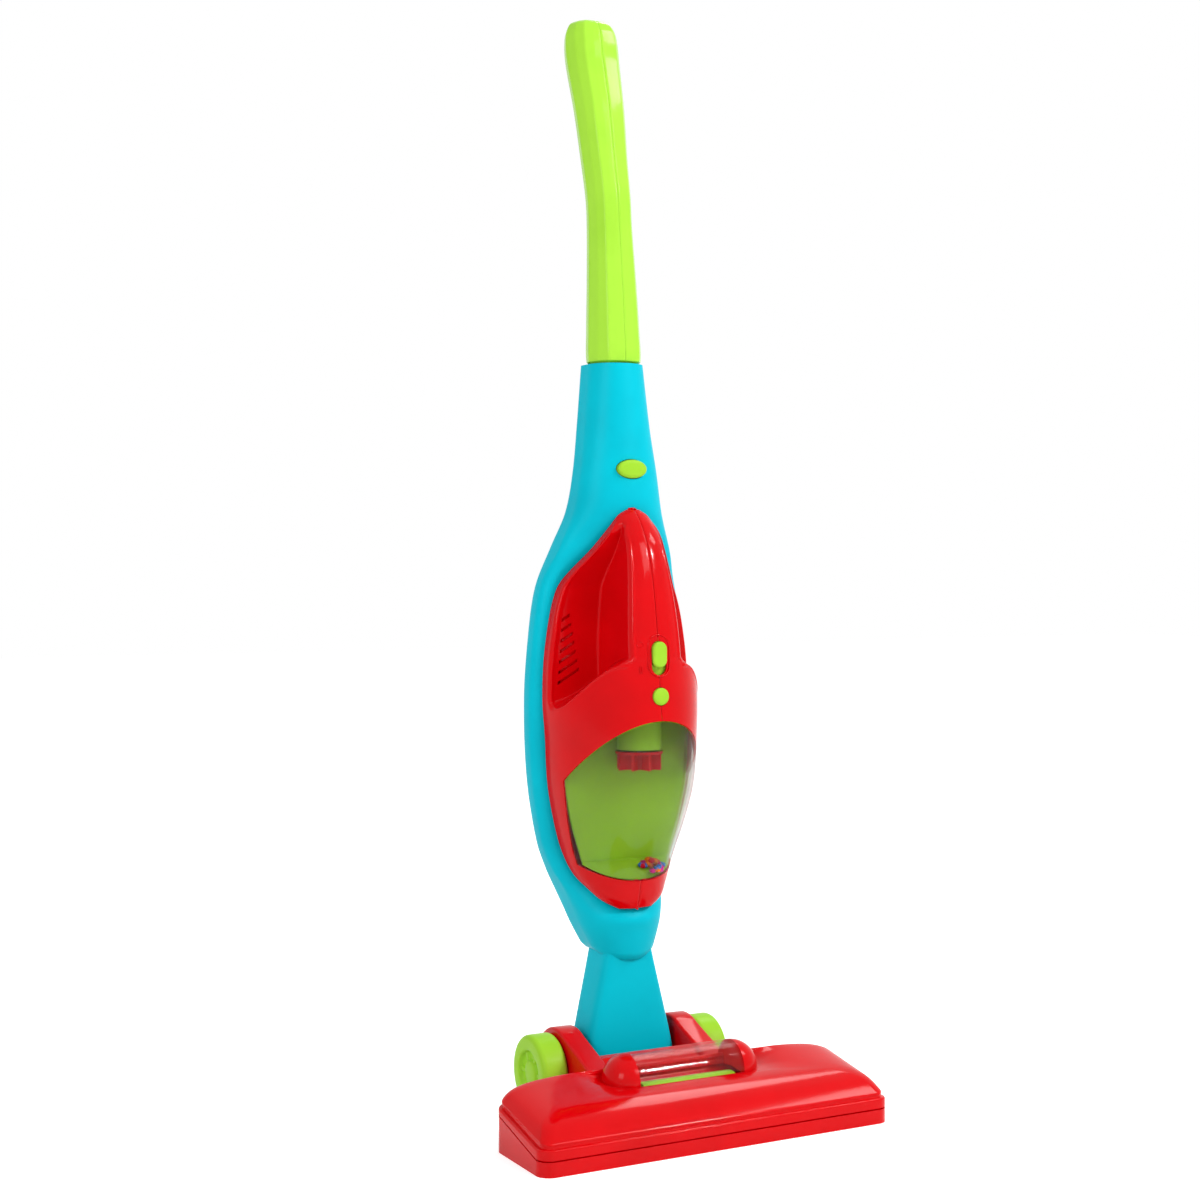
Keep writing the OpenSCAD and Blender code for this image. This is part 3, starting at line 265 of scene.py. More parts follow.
blackPlastic = mouldedPlastic("black cell sleeve", {**satin, "colour": "#3a3a3c", "shade": "#2c2c2e"})
boardGreen = mouldedPlastic("green circuit board", {**satin, "colour": "#1c6a34", "shade": "#15552a"})
clearShell = clearPlastic("clear polystyrene", clear)
clearWindow = clearPlastic("clear polystyrene of the window",
                           {**clear, "colour": "#d0d2cc", "alpha": 0.32, "coat": 0.7})
steelRod = drawnSteel("drawn steel", {"colour": "#c4c7ca", "lineMm": 0.5, "rough": 0.28, "roughSpread": 0.15})
bitColours = [mouldedPlastic("bit " + text, {**glossy, "colour": text, "shade": text})
              for text in ("#d8102c", "#d0208c", "#2878d8", "#f07818")]
print("materials made")


# camera and studio

camera = {"pos": (-0.5456, -0.9219, 0.3146), "azimuth": -28.38, "lens": 57.9, "sensor": 36,
          "shift": (-0.018, -0.0265), "far": 50}
cameraData = bpy.data.cameras.new("camera")
cameraData.lens, cameraData.sensor_width = camera["lens"], camera["sensor"]
cameraData.shift_x, cameraData.shift_y = camera["shift"]
cameraData.clip_end = camera["far"]
cameraObject = bpy.data.objects.new("camera", cameraData)
cameraObject.location = camera["pos"]
cameraObject.rotation_euler = (np.pi / 2, 0, np.radians(camera["azimuth"]))
bpy.context.scene.collection.objects.link(cameraObject)
bpy.context.scene.camera = cameraObject

# each lamp is a name, a place in m, watts and a size in m
studio = {"world": 0.5, "floor": "#f4f4f4", "glow": 0.56, "half": 6000.0, "aim": (0, 0.06, 0.32),
          "lamps": [("key", (0.75, -1.5, 1.6), 9, 0.7), ("panel", (2.65, -1.4, 3.1), 38, 0.9),
                    ("glint", (1.15, -1.45, 1.6), 13, 0.13), ("fill", (-1.7, -0.9, 1.1), 13, 0.8),
                    ("top", (1.1, 1.0, 1.9), 8, 0.6)]}


# an area lamp that looks at the middle of the toy
def lamp(name, pos, power, size):
    data = bpy.data.lights.new(name, "AREA")
    data.energy, data.size = power, size
    lampObject = bpy.data.objects.new(name, data)
    aim = np.array(studio["aim"]) - np.array(pos)
    aim = aim / np.linalg.norm(aim)
    lampObject.location = pos
    turn = float(np.arctan2(aim[1], aim[0]) - np.pi / 2)
    lampObject.rotation_euler = (float(np.arccos(-aim[2])), 0, turn)
    bpy.context.scene.collection.objects.link(lampObject)


for row in studio["lamps"]:
    lamp(*row)


# a level that is high for camera, transmission and glossy rays and low for the rays that light the toy
def levelSeen(tree, low, high):
    paths = addNode(tree, "ShaderNodeLightPath")
    direct = addNode(tree, "ShaderNodeMath", {"operation": "MAXIMUM"},
                     links={0: paths.outputs["Is Camera Ray"], 1: paths.outputs["Is Transmission Ray"]})
    seen = addNode(tree, "ShaderNodeMath", {"operation": "MAXIMUM"},
                   links={0: direct.outputs["Value"], 1: paths.outputs["Is Glossy Ray"]})
    return addNode(tree, "ShaderNodeMapRange", values={"To Min": low, "To Max": high},
                   links={"Value": seen.outputs["Value"]}).outputs["Result"]


world = bpy.data.worlds.new("studio")
bpy.context.scene.world = world
world.use_nodes = True
sky = world.node_tree
sky.nodes.clear()
light = addNode(sky, "ShaderNodeBackground", values={"Color": (1, 1, 1, 1)},
                links={"Strength": levelSeen(sky, studio["world"], 1.0)})
addNode(sky, "ShaderNodeOutputWorld", links={"Surface": light.outputs["Background"]})


# white paper: a diffuse floor plus a glow that doesn't light the toy, so its soft shadow stays
def floorMaterial():
    material, tree = bareMaterial("studio paper")
    paper = addNode(tree, "ShaderNodeBsdfDiffuse", values={"Color": linear(studio["floor"])})
    lit = addNode(tree, "ShaderNodeEmission", links={"Strength": levelSeen(tree, 0.0, studio["glow"])})
    both = addNode(tree, "ShaderNodeAddShader",
                   links={0: paper.outputs["BSDF"], 1: lit.outputs["Emission"]})
    addNode(tree, "ShaderNodeOutputMaterial", links={"Surface": both.outputs["Shader"]})
    return material


half = studio["half"]
floorGrid = np.array([[[-half, -half, 0], [half, -half, 0]], [[-half, half, 0], [half, half, 0]]])
floorPiece = gridPiece("floor", floorGrid, turn=False)
floorPiece.data.materials.append(floorMaterial())
bpy.context.scene.view_settings.view_transform = "Standard"
print("camera and studio set")


# the upright: body, neck and grip; sizes are in mm, and the lists hold shares of them along the height t

wall = 2.0
axleY, axleZ = 88.0, 21.8
body = {"low": 89.0, "high": 436.0, "halfW": 53.0, "rearD": 26.0, "frontD": 27.0, "parting": 11.0,
        "roll": 7.0, "rollShare": 0.2, "rollFade": 14, "skirt": 8.0, "gap": 0.05, "hem": 4.0, "hemIn": 0.09,
        "dip": 4.5, "dipHigh": 40.0, "power": 3, "rounder": 0.6, "rounderOver": 0.2,
        "rows": 240, "rowPower": 1.15, "cols": 121,
        "t": [0, 0.043, 0.066, 0.095, 0.133, 0.182, 0.291, 0.421, 0.524, 0.617, 0.689, 0.746, 0.816, 0.89, 1],
        "a": [0.358, 0.481, 0.528, 0.6, 0.72, 0.84, 0.965, 1, 0.955, 0.86, 0.69, 0.55, 0.47, 0.402, 0.325],
        "y": [0.18, 0.55, 0.8, 1, 1, 1, 1, 1, 1, 1, 0.82, 0.64, 0.55, 0.73, 0.91],
        "b": [0.667, 0.889, 1, 0.74, 0.22, 0, 0, 0, 0, 0, 0.52, 0.74, 0.7, 0.685, 0.648],
        "c": [0.69, 0.8, 0.86, 0.95, 1, 1, 1, 1, 1, 1, 0.9, 0.77, 0.73, 0.71, 0.67]}


# place on the body's height: (z - low) / (high - low)
def bodyT(z):
    return (z - body["low"]) / (body["high"] - body["low"])


# half width: the widest half width times its share at that height
def bodyA(z):
    return body["halfW"] * curve(bodyT(z), body["t"], body["a"])


# the parting plane in Y: behind the axle by the parting distance times its share
def bodyY(z):
    return axleY + body["parting"] * curve(bodyT(z), body["t"], body["y"])


# depth of the front half: the largest front depth times its share, never below 0
def bodyB(z):
    return np.maximum(0, body["frontD"] * curve(bodyT(z), body["t"], body["b"]))


# depth of the rear half: the rear depth times its share
def bodyC(z):
    return body["rearD"] * curve(bodyT(z), body["t"], body["c"])


# the foremost line of the front half: parting plane less front depth
def frontFaceY(z):
    return bodyY(z) - bodyB(z)


# share of the section that is left at the hem: 1 - k (1 - u)^2, with u the height above the hem over its size
def hemShare(z):
    return 1 - body["hemIn"] * (1 - np.clip((z - body["low"]) / body["hem"], 0, 1)) ** 2


# heights of the body's rows, closer together near the hem: low + (high - low) u^p
def bodyRows():
    u = np.linspace(0, 1, body["rows"])[:, None]
    return body["low"] + (body["high"] - body["low"]) * u ** body["rowPower"]


# front half of the body: x = -a cos q, y = parting - b sin q, with the outer edge rolled back on a radius r,
# r - sqrt(r^2 - d^2), and the lower edge drawn down by a dip times sin q that fades out above it
def bodyFront():
    z, q = bodyRows(), np.linspace(0, np.pi, body["cols"])[None, :]
    a = bodyA(z) * hemShare(z)
    r = np.minimum(body["roll"], bodyA(z) * body["rollShare"])
    x = -a * np.cos(q)
    over = np.clip((np.abs(x) - (a - r)) / r, 0, 1)
    rolled = r * (1 - np.sqrt(1 - over ** 2)) * smoothStep(1 - bodyB(z) / body["rollFade"])
    y = bodyY(z) - bodyB(z) * hemShare(z) * np.sin(q) + rolled
    dip = body["dip"] * np.sin(q) * (1 - smoothStep((z - body["low"]) / body["dipHigh"]))
    points = np.stack([x, y, z - dip], axis=-1)
    skirt = points[:, [0, -1]].copy()
    skirt[:, :, 1] = bodyY(z) + body["skirt"]
    return np.concatenate([skirt[:, :1], points, skirt[:, 1:]], axis=1)


# rear half of the body behind the front half's skirt: a superellipse, rounder towards the collar
def bodyRear():
    z, q = bodyRows(), np.linspace(0, np.pi, body["cols"])[None, :]
    e = 2 / (body["power"] - smoothStep((bodyT(z) - body["rounder"]) / body["rounderOver"]))
    x = -bodyA(z) * hemShare(z) * raised(np.cos(q), e)
    depth = bodyC(z) * hemShare(z) - body["skirt"]
    y = bodyY(z) + body["skirt"] + body["gap"] + depth * raised(np.sin(q), e)
    return np.stack([x, y, z + 0 * q], axis=-1)


neck = {"low": 12.8, "high": 90.5, "footW": 29.5, "footD": 15.0, "topW": 15.6, "topD": 14.2, "power": 6.0,
        "gap": 0.02, "rows": 90, "cols": 121, "t": [0, 0.16, 0.26, 0.95, 1], "g": [0, 0, 0.06, 0.96, 1]}


# half of the neck: square-shouldered superellipse sections that draw in by the share g from foot to waist
def neckHalf(side):
    t = np.linspace(0, 1, neck["rows"])[:, None]
    q = np.linspace(0, np.pi, neck["cols"])[None, :]
    g = curve(t, neck["t"], neck["g"])
    e = 2 / neck["power"]
    x = -(neck["footW"] + g * (neck["topW"] - neck["footW"])) * raised(np.cos(q), e)
    depth = neck["gap"] + (neck["footD"] + g * (neck["topD"] - neck["footD"])) * raised(np.sin(q), e)
    y = axleY + g * body["parting"] * body["y"][0] + side * depth
    return np.stack([x, y, neck["low"] + t * (neck["high"] - neck["low"]) + 0 * q], axis=-1)


handle = {"low": 414.0, "high": 650.0, "halfW": 17.0, "halfD": 16.5, "lean": 31.0, "foot": 9.68, "gap": 0.05,
          "seamDeep": 0.45, "seamWide": 0.55, "seamFade": 6, "rows": 260, "rowPower": 1.9, "perFacet": 14,
          "t": [0, 0.0935, 0.1, 0.18, 0.3, 0.45, 0.52, 0.63, 0.755, 0.885, 0.94, 0.975, 0.993, 1],
          "a": [0.82, 0.82, 0.97, 0.96, 0.9, 0.82, 0.82, 0.86, 0.94, 1.02, 1.01, 0.9, 0.62, 0.004],
          "b": [0.82, 0.82, 0.97, 0.96, 0.89, 0.82, 0.815, 0.84, 0.87, 0.9, 0.87, 0.74, 0.5, 0.004],
          "y": [0, 0.014, 0.017, 0.05, 0.1, 0.19, 0.24, 0.42, 0.62, 0.9, 0.97, 0.99, 1, 1],
          "angles": [0, 18, 36, 60, 90, 120, 144, 162, 180],
          "swell": [0.97, 0.965, 1.04, 0.99, 1.0, 0.99, 1.04, 0.965, 0.97]}


# half of the grip: a section of flats with softened edges, scaled and leaned along its height, its seam edge
# rolled in by a bell curve of the distance from the seam
def handleHalf(side):
    t = 1 - (1 - np.linspace(0, 1, handle["rows"])[:, None]) ** handle["rowPower"]
    corner = np.arange(len(handle["angles"]))
    steps = np.linspace(0, corner[-1], corner[-1] * handle["perFacet"] + 1)
    turn, swell = np.radians(handle["angles"]), np.array(handle["swell"])
    sx = np.interp(steps, corner, swell * np.sin(turn))
    sy = np.interp(steps, corner, -swell * np.cos(turn))
    section = softened(np.stack([sx, sy, 0 * sx], axis=-1)[None], 1)[0]
    a = handle["halfW"] * curve(t, handle["t"], handle["a"])
    b = handle["halfD"] * curve(t, handle["t"], handle["b"])
    x = a * section[None, :, 0]
    roll = handle["seamDeep"] * bell(x, 0, handle["seamWide"]) * np.minimum(1, a / handle["seamFade"])
    middle = axleY + handle["foot"] + handle["lean"] * curve(t, handle["t"], handle["y"])
    y = middle + b * section[None, :, 1] - roll * np.sign(section[None, :, 1])
    z = handle["low"] + t * (handle["high"] - handle["low"]) + 0 * x
    return np.stack([side * (handle["gap"] + x), y, z], axis=-1)


button = {"around": 96, "edge": 9, "top": 12, "topFrom": 0.9, "topTo": 0.02, "endSharp": 20}


# a button that stands on the Y face, as rings of a racetrack or an ellipse: up the side, over a rounded edge
# and in to a top crowned by c (1 - x^2) (1 - z^2)
def buttonPiece(name, look):
    q = fullTurn(button["around"])
    bend = np.linspace(0, np.pi / 2, button["edge"])[:, None]
    inward = np.linspace(button["topFrom"], button["topTo"], button["top"])[:, None]
    edge, stand = look["edge"], look["stand"]
    r = min(look["halfW"], look["halfH"])
    rx, rz = (look["halfW"], look["halfH"]) if look.get("oval") else (r, r)
    cx = (look["halfW"] - rx) * np.tanh(button["endSharp"] * np.cos(q))
    cz = (look["halfH"] - rz) * np.tanh(button["endSharp"] * np.sin(q))
    reach = np.concatenate([np.ones((2, 1)), 1 - edge / r * (1 - np.cos(bend)), (1 - edge / r) * inward])
    grow = np.concatenate([np.zeros((2 + len(bend), 1)), 1 - inward])
    lift = np.concatenate([np.array([[look["deep"]], [edge - stand]]), edge * (1 - np.sin(bend)) - stand,
                           np.full((len(inward), 1), -stand)])
    x = cx * np.sqrt(1 - grow) + rx * reach * np.cos(q)
    z = cz * np.sqrt(1 - grow) + rz * reach * np.sin(q)
    crown = look["crown"] * (1 - (x / look["halfW"]) ** 2) * (1 - (z / look["halfH"]) ** 2)
    y = lift - crown * (grow > 0)
    points = np.stack([look["x"] + x, look["y"] + y, look["z"] + z], axis=-1)
    return gridPiece(name, points, closed=True, capEnds=True)


releaseZ, screwHeights = 373.0, (182.7, 283.3)
releaseLook = {"x": 0, "y": float(frontFaceY(np.array(releaseZ))), "z": releaseZ, "halfW": 9.5, "halfH": 5.5,
               "stand": 2.0, "deep": 6.0, "edge": 1.4, "crown": 0.3, "oval": True}
holeLook = {**releaseLook, "halfW": 9.9, "halfH": 5.9, "stand": 8.0, "deep": 7.0, "edge": 0.2, "crown": 0}
wells = [{"x": 0, "y": float(bodyY(np.array(z)) + bodyC(np.array(z))), "z": z, "halfW": 2.8, "halfH": 2.8,
          "stand": 4.0, "deep": 4.0, "edge": 0.2, "crown": 0} for z in screwHeights]
frontShell = gridPiece("bodyFront", bodyFront(), thickness=wall)
cutBy(frontShell, [buttonPiece("cutter", holeLook)])
place(frontShell, cyanAbs, "upright", "cyan_satin", "body_front_shell")
rearShell = gridPiece("bodyRear", bodyRear(), thickness=wall)
cutBy(rearShell, [buttonPiece("cutter", well) for well in wells])
place(rearShell, cyanAbs, "upright", "cyan_satin", "body_rear_shell")
for name, points, material, slot, node in (
        ("neckFront", neckHalf(-1), cyanAbs, "cyan_satin", "neck_front"),
        ("neckRear", neckHalf(1), cyanAbs, "cyan_satin", "neck_rear"),
        ("handleLeft", handleHalf(-1), limeAbs, "lime_gloss", "handle_left_half"),
        ("handleRight", handleHalf(1), limeAbs, "lime_gloss", "handle_right_half")):
    place(gridPiece(name, points, thickness=wall), material, "upright", slot, node)
place(buttonPiece("releaseButton", releaseLook), limeSatin, "release_button", "lime_gloss", "release_button")
print("upright built")


# the handheld: red halves, clear cup and controls

hand = {"low": 116.0, "len": 233.0, "halfW": 47.3, "deep": 63.0, "spine": 17.0, "plate": 8.0, "clear": 0.5,
        "wall": 1.4, "round": 4.0, "foot": 0.82, "seam": 0.1, "seamDeep": 0.4, "seamWide": 0.5,
        "t": [0, 0.013, 0.026, 0.052, 0.069, 0.103, 0.197, 0.305,
              0.429, 0.532, 0.665, 0.803, 0.91, 0.966, 0.988, 1],
        "a": [0.25, 0.37, 0.45, 0.55, 0.61, 0.685, 0.825, 0.928,
              0.965, 1, 0.956, 0.797, 0.45, 0.27, 0.19, 0.09],
        "d": [0.492, 0.508, 0.524, 0.548, 0.563, 0.61, 0.778, 0.937,
              0.976, 0.929, 0.881, 0.802, 0.683, 0.556, 0.48, 0.43]}
cup = {"strip": 17.0, "stripShare": 0.92, "corner": 191.0, "rise": 36.0, "floor": 132.0, "sill": 9.0,
       "thick": 1.6, "wide": 0.99, "lowGap": 0.3, "highGap": 0.6, "rows": 90, "cols": 121}
ledge = {"front": 258.0, "rear": 231.0, "wide": 6.0, "from": 0.3, "over": 0.6}
switchZ, buttonZ = 265.0, 241.0
cupEdge = float(np.degrees(np.arccos(cup["strip"] / (hand["deep"] * cup["stripShare"]))))
handTop = hand["low"] + hand["len"]


# half width of the handheld: its widest half width times its share at that height
def handA(z):
    return hand["halfW"] * curve((z - hand["low"]) / hand["len"], hand["t"], hand["a"])


# front line of the handheld: its depth times its share, in front of the parting plane
def handFront(z):
    depth = hand["deep"] * curve((z - hand["low"]) / hand["len"], hand["t"], hand["d"])
    return axleY + body["parting"] - depth


# rear face of the handheld: a clearance in front of the cradle's foremost line
def handBack(z):
    return frontFaceY(z) - hand["clear"]


# quarter ellipse from the front seam (q = 0) to the rear edge (q = 90)
def ovalPoint(q, z, inset=0.0):
    f, b = handFront(z) + inset, handBack(z) - inset
    x = np.maximum(hand["seam"], (handA(z) - inset) * np.sin(np.radians(q)))
    return x, b - (b - f) * np.cos(np.radians(q))


# floor of the finger pocket: falls from the spine to the rear edge as a smooth step of the place s
def ledgeZ(s):
    return ledge["front"] - (ledge["front"] - ledge["rear"]) * smoothStep((s - ledge["from"]) / ledge["over"])


# the stretches (start, length) along s are spine front, spine side, panel and plate edge
pocket = {"stretches": ((0, 0.3), (0.3, 0.3), (0.6, 0.3), (0.9, 0.1)), "narrow": 0.35, "spineMost": 0.9,
          "roundMost": 0.3, "rounds": 3, "topGap": 2, "topFade": 14}


# outline through the finger pocket: straight over its stretches, with a cubic round at the spine's edge
def pocketPoint(s, z):
    f, b, a = handFront(z), handBack(z), handA(z)
    narrow = 1 - pocket["narrow"] * smoothStep((z - switchZ) / (handTop - switchZ))
    h = np.minimum(a * pocket["spineMost"], hand["spine"] * narrow)
    r = np.minimum(hand["round"], pocket["roundMost"] * (b - f))
    p = np.maximum(f + r, b - hand["plate"])
    foot = h * hand["foot"]
    u1, u2, u3, u4 = (np.clip((s - low) / span, 0, 1) for low, span in pocket["stretches"])
    before = [s < low for low, _ in pocket["stretches"][1:]]
    across = [np.maximum(hand["seam"], h * u1), h * (1 - u2 * (1 - hand["foot"])), foot + u3 * (a - foot)]
    x = np.select(before, across, a)
    y = np.select(before, [f + r * u1 ** 3, f + r + u2 * (p - f - r), p + 0 * s], p + u4 * (b - p))
    return x, y


# angle at which the red starts beside the cup: the arch, or below it the sill's parabola, solved
def cupStart(z):
    c = np.cos(np.radians(cupEdge))
    arch = np.degrees(np.arccos(np.clip(c + (1 - c) * (z - cup["corner"]) / cup["rise"], -1, 1)))
    sill = cupEdge * np.sqrt(np.clip((z - cup["floor"]) / cup["sill"], 0, 1))
    return np.where(z > cup["corner"], arch, sill)


vac = {"cols": 161, "foot": 16, "sill": 14, "side": 22, "arch": 34, "band": 19, "floor": 25, "top": 71,
       "back": 14, "tip": 0.05, "noCup": 0.01}


# heights of a red half's rows: level up to the cup's arch, then rows that follow the pocket's floor
def vacHeights(u):
    arch, sillTop = cup["corner"] + cup["rise"], cup["floor"] + cup["sill"]
    foot = 1 - np.cos(np.linspace(0, np.pi / 2, vac["foot"]))
    low = np.concatenate([hand["low"] + (cup["floor"] - hand["low"]) * foot,
                          cup["floor"] + cup["sill"] * np.linspace(0, 1, vac["sill"])[1:] ** 2,
                          np.linspace(sillTop, cup["corner"], vac["side"])[1:],
                          cup["corner"] + cup["rise"] * (1 - (1 - np.linspace(0, 1, vac["arch"])[1:]) ** 2)])
    first = ledgeZ(u)
    band = 1 - (1 - np.linspace(0, 1, vac["band"])[1:, None]) ** 2
    top = np.sin(np.linspace(0, np.pi / 2, vac["top"]))[1:, None]
    return np.concatenate([low[:, None] + 0 * u, arch + (first - arch) * band,
                           first + ledge["wide"] * np.linspace(0, 1, vac["floor"])[1:, None],
                           first + ledge["wide"] + (handTop - first - ledge["wide"]) * top])


# pairs are the place and width of a bell curve, or a place and the length over which the rim fades there
rim = {"high": 0.7, "floor": (0.3, 0.9), "plate": (0.885, 0.014), "spine": (0.265, 0.018),
       "start": (0.24, 0.04), "stop": (0.95, 0.04), "above": (1, 3), "top": (10, 12)}


# height of the pocket's thin rim: bell curves of the distance from the pocket's floor and from its two sides
def rimHigh(s, z):
    over, under = z - ledgeZ(s), handTop - rim["top"][0] - z
    above = smoothStep((over - rim["above"][0]) / rim["above"][1]) * smoothStep(under / rim["top"][1])
    started = smoothStep((s - rim["start"][0]) / rim["start"][1])
    onFloor = bell(over, *rim["floor"]) * started * smoothStep((rim["stop"][0] - s) / rim["stop"][1])
    onSides = above * np.maximum(bell(s, *rim["plate"]), bell(s, *rim["spine"]))
    return rim["high"] * np.maximum(onFloor, onSides)


# one red half: each point is the oval plus a mix share of the way to the pocket outline, lifted by the rim
# and sunk at the front seam, then a flat back and closed tips
def vacHalf(side):
    u = np.linspace(0, 1, vac["cols"])[None, :]
    z = vacHeights(u)
    s0 = cupStart(z) / 90
    s = s0 + (1 - s0) * u
    ox, oy = ovalPoint(90 * s, z)
    px, py = pocketPoint(s, z)
    inner = softened(np.stack([px, py, z], axis=-1), pocket["rounds"])
    mix = smoothStep((z - ledgeZ(s)) / ledge["wide"])
    mix = mix * smoothStep((handTop - pocket["topGap"] - z) / pocket["topFade"])
    x, y = ox + mix * (inner[:, :, 0] - ox), oy + mix * (inner[:, :, 1] - oy)
    atSeam = (s < ledge["from"]) * (s0 < vac["noCup"])
    y = y - rimHigh(s, z) + hand["seamDeep"] * bell(x, hand["seam"], hand["seamWide"]) * atSeam
    back = np.linspace(1, 0, vac["back"])[None, 1:]
    bx = np.maximum(hand["seam"], x[:, -1:] * back)
    rear = np.stack([bx, handBack(z[:, -1:]) + 0 * back, z[:, -1:] + 0 * back], axis=-1)
    points = np.concatenate([np.stack([x, y, z], axis=-1), rear], axis=1)
    tipLow, tipHigh = points[:1].copy(), points[-1:].copy()
    tipLow[:, :, 0], tipHigh[:, :, 0] = vac["tip"], vac["tip"]
    points = np.concatenate([tipLow, points, tipHigh])
    points[:, :, 0] *= side
    return points


vents = {"count": 7, "outer": (38.5, 284.1), "outerStep": (0.45, -6.18), "inner": (33.2, 287.0),
         "innerStep": (-1.02, -5.28), "half": 1.0, "square": 0.35, "around": 12, "y": 91.0, "deep": 3.5,
         "floor": (91.95, 93.2), "x": (22.0, 39.0), "z": (243.0, 291.0)}


# slanted slots on the pocket's panel: each a flat oval carried along its own line, as a closed cutter
def ventCutters(side):
    cutters = []
    t = np.linspace(0, 1, 2)[:, None]
    q = fullTurn(vents["around"])
    for k in range(vents["count"]):
        x0, z0 = (start + step * k for start, step in zip(vents["outer"], vents["outerStep"]))
        x1, z1 = (start + step * k for start, step in zip(vents["inner"], vents["innerStep"]))
        x = x0 + t * (x1 - x0) + 0 * q
        z = z0 + t * (z1 - z0) + vents["half"] * np.sin(q)
        y = vents["y"] + vents["deep"] * raised(np.cos(q), vents["square"]) + 0 * t
        slotGrid = np.stack([side * x, y, z], axis=-1)
        cutters.append(gridPiece("cutter", slotGrid, closed=True, capEnds=True))
    return cutters


# a plain box between two corners
def boxPiece(name, low, high):
    x = np.array([low[0], high[0], high[0], low[0]])[None, :]
    y = np.array([low[1], low[1], high[1], high[1]])[None, :]
    z = np.array([low[2], high[2]])[:, None]
    return gridPiece(name, np.stack([x + 0 * z, y + 0 * z, z + 0 * x], axis=-1), closed=True, capEnds=True)


door = {"halfW": 13.3, "low": 231.7, "high": 296.3, "middle": 264.0, "reach": 3}
switchY, buttonY = float(handFront(np.array(switchZ))), float(handFront(np.array(buttonZ)))
switchLook = {"x": 0, "y": switchY, "z": switchZ, "halfW": 4.5, "halfH": 7.5, "stand": 2.2, "deep": 4.0,
              "edge": 1.2, "crown": 0.2}
buttonLook = {"x": 0, "y": buttonY, "z": buttonZ, "halfW": 5.0, "halfH": 5.0, "stand": 1.2, "deep": 4.0,
              "edge": 0.9, "crown": 0.5}
switchHole = {**switchLook, "z": switchZ - 2, "halfW": 4.8, "halfH": 9.8, "stand": 6.0, "edge": 0.2,
              "crown": 0}
buttonHole = {**buttonLook, "halfW": 5.3, "halfH": 5.3, "stand": 6.0, "deep": 6.0, "edge": 0.2, "crown": 0}
flangeLook = {**switchLook, "y": switchY + 3.0, "z": switchZ - 1, "halfW": 6.3, "halfH": 11.0, "stand": 1.1,
              "deep": 0.0, "edge": 0.3, "crown": 0}
doorY = float(handBack(np.array(door["middle"])))
for side, name, node in ((-1, "vacLeft", "vac_left_shell"), (1, "vacRight", "vac_right_shell")):
    shell = gridPiece(name, vacHalf(side), thickness=hand["wall"])
    holes = [buttonPiece("cutter", switchHole), buttonPiece("cutter", buttonHole),
             boxPiece("cutter", (-door["halfW"], doorY - door["reach"], door["low"]),
                      (door["halfW"], doorY + door["reach"], door["high"]))]
    cutBy(shell, holes + ventCutters(side))
    place(shell, redAbs, "handheld", "red_gloss", node)
    ends = sorted(side * x for x in vents["x"])
    slotFloor = boxPiece(name + "SlotFloor", (ends[0], vents["floor"][0], vents["z"][0]),
                         (ends[1], vents["floor"][1], vents["z"][1]))
    place(slotFloor, redAbs, "handheld", "red_gloss")
place(buttonPiece("slideSwitch", switchLook), limeSatin, "slide_switch", "lime_gloss", "slide_switch")
place(buttonPiece("switchFlange", flangeLook), limeSatin, "slide_switch", "lime_gloss")
bead = {"along": 121, "around": 12,
        "marks": [("switchBead", {"x": 0, "z": switchZ - 0.6, "halfW": 6.9, "halfH": 12.0, "line": 0.45}),
                  ("markRing", {"x": -11.4, "z": 271.0, "halfW": 1.7, "halfH": 1.7, "line": 0.3}),
                  ("markBar", {"x": -11.4, "z": 256.5, "halfW": 0.4, "halfH": 1.9, "line": 0.3})]}


# front of the grip spine: the front line plus a cubic rise towards its edge
def spineY(x, z):
    return handFront(z) + hand["round"] * (np.abs(x) / hand["spine"]) ** 3


# a moulded bead: a small circle carried round a racetrack that lies on the spine's front
def beadGrid(look):
    q = np.linspace(0, 2 * np.pi, bead["along"])[:, None]
    p = fullTurn(bead["around"])
    r = min(look["halfW"], look["halfH"])
    cx = (look["halfW"] - r) * np.tanh(button["endSharp"] * np.cos(q))
    cz = (look["halfH"] - r) * np.tanh(button["endSharp"] * np.sin(q))
    x = look["x"] + cx + (r + look["line"] * np.cos(p)) * np.cos(q)
    z = look["z"] + cz + (r + look["line"] * np.cos(p)) * np.sin(q)
    return np.stack([x, spineY(x, z) + look["line"] * np.sin(p), z], axis=-1)


for name, look in bead["marks"]:
    place(gridPiece(name, beadGrid(look), closed=True), redAbs, "handheld", "red_gloss")
place(buttonPiece("roundButton", buttonLook), limeSatin, "round_button", "lime_gloss", "round_button")


# the clear cup: the oval sections between the sill's parabola and the arch's cosine, across both sides
def cupGrid():
    q = cup["wide"] * cupEdge * np.linspace(-1, 1, cup["cols"])[None, :]
    v = np.linspace(0, 1, cup["rows"])[:, None]
    c = np.cos(np.radians(cupEdge))
    low = cup["floor"] + cup["sill"] * (q / cupEdge) ** 2 + cup["lowGap"]
    high = cup["corner"] + cup["rise"] * (np.cos(np.radians(q)) - c) / (1 - c) - cup["highGap"]
    z = low + v * (high - low)
    x, y = ovalPoint(np.abs(q), z)
    return np.stack([np.sign(q) * (x - hand["seam"] * (np.abs(q) < 1e-6)), y, z], axis=-1)


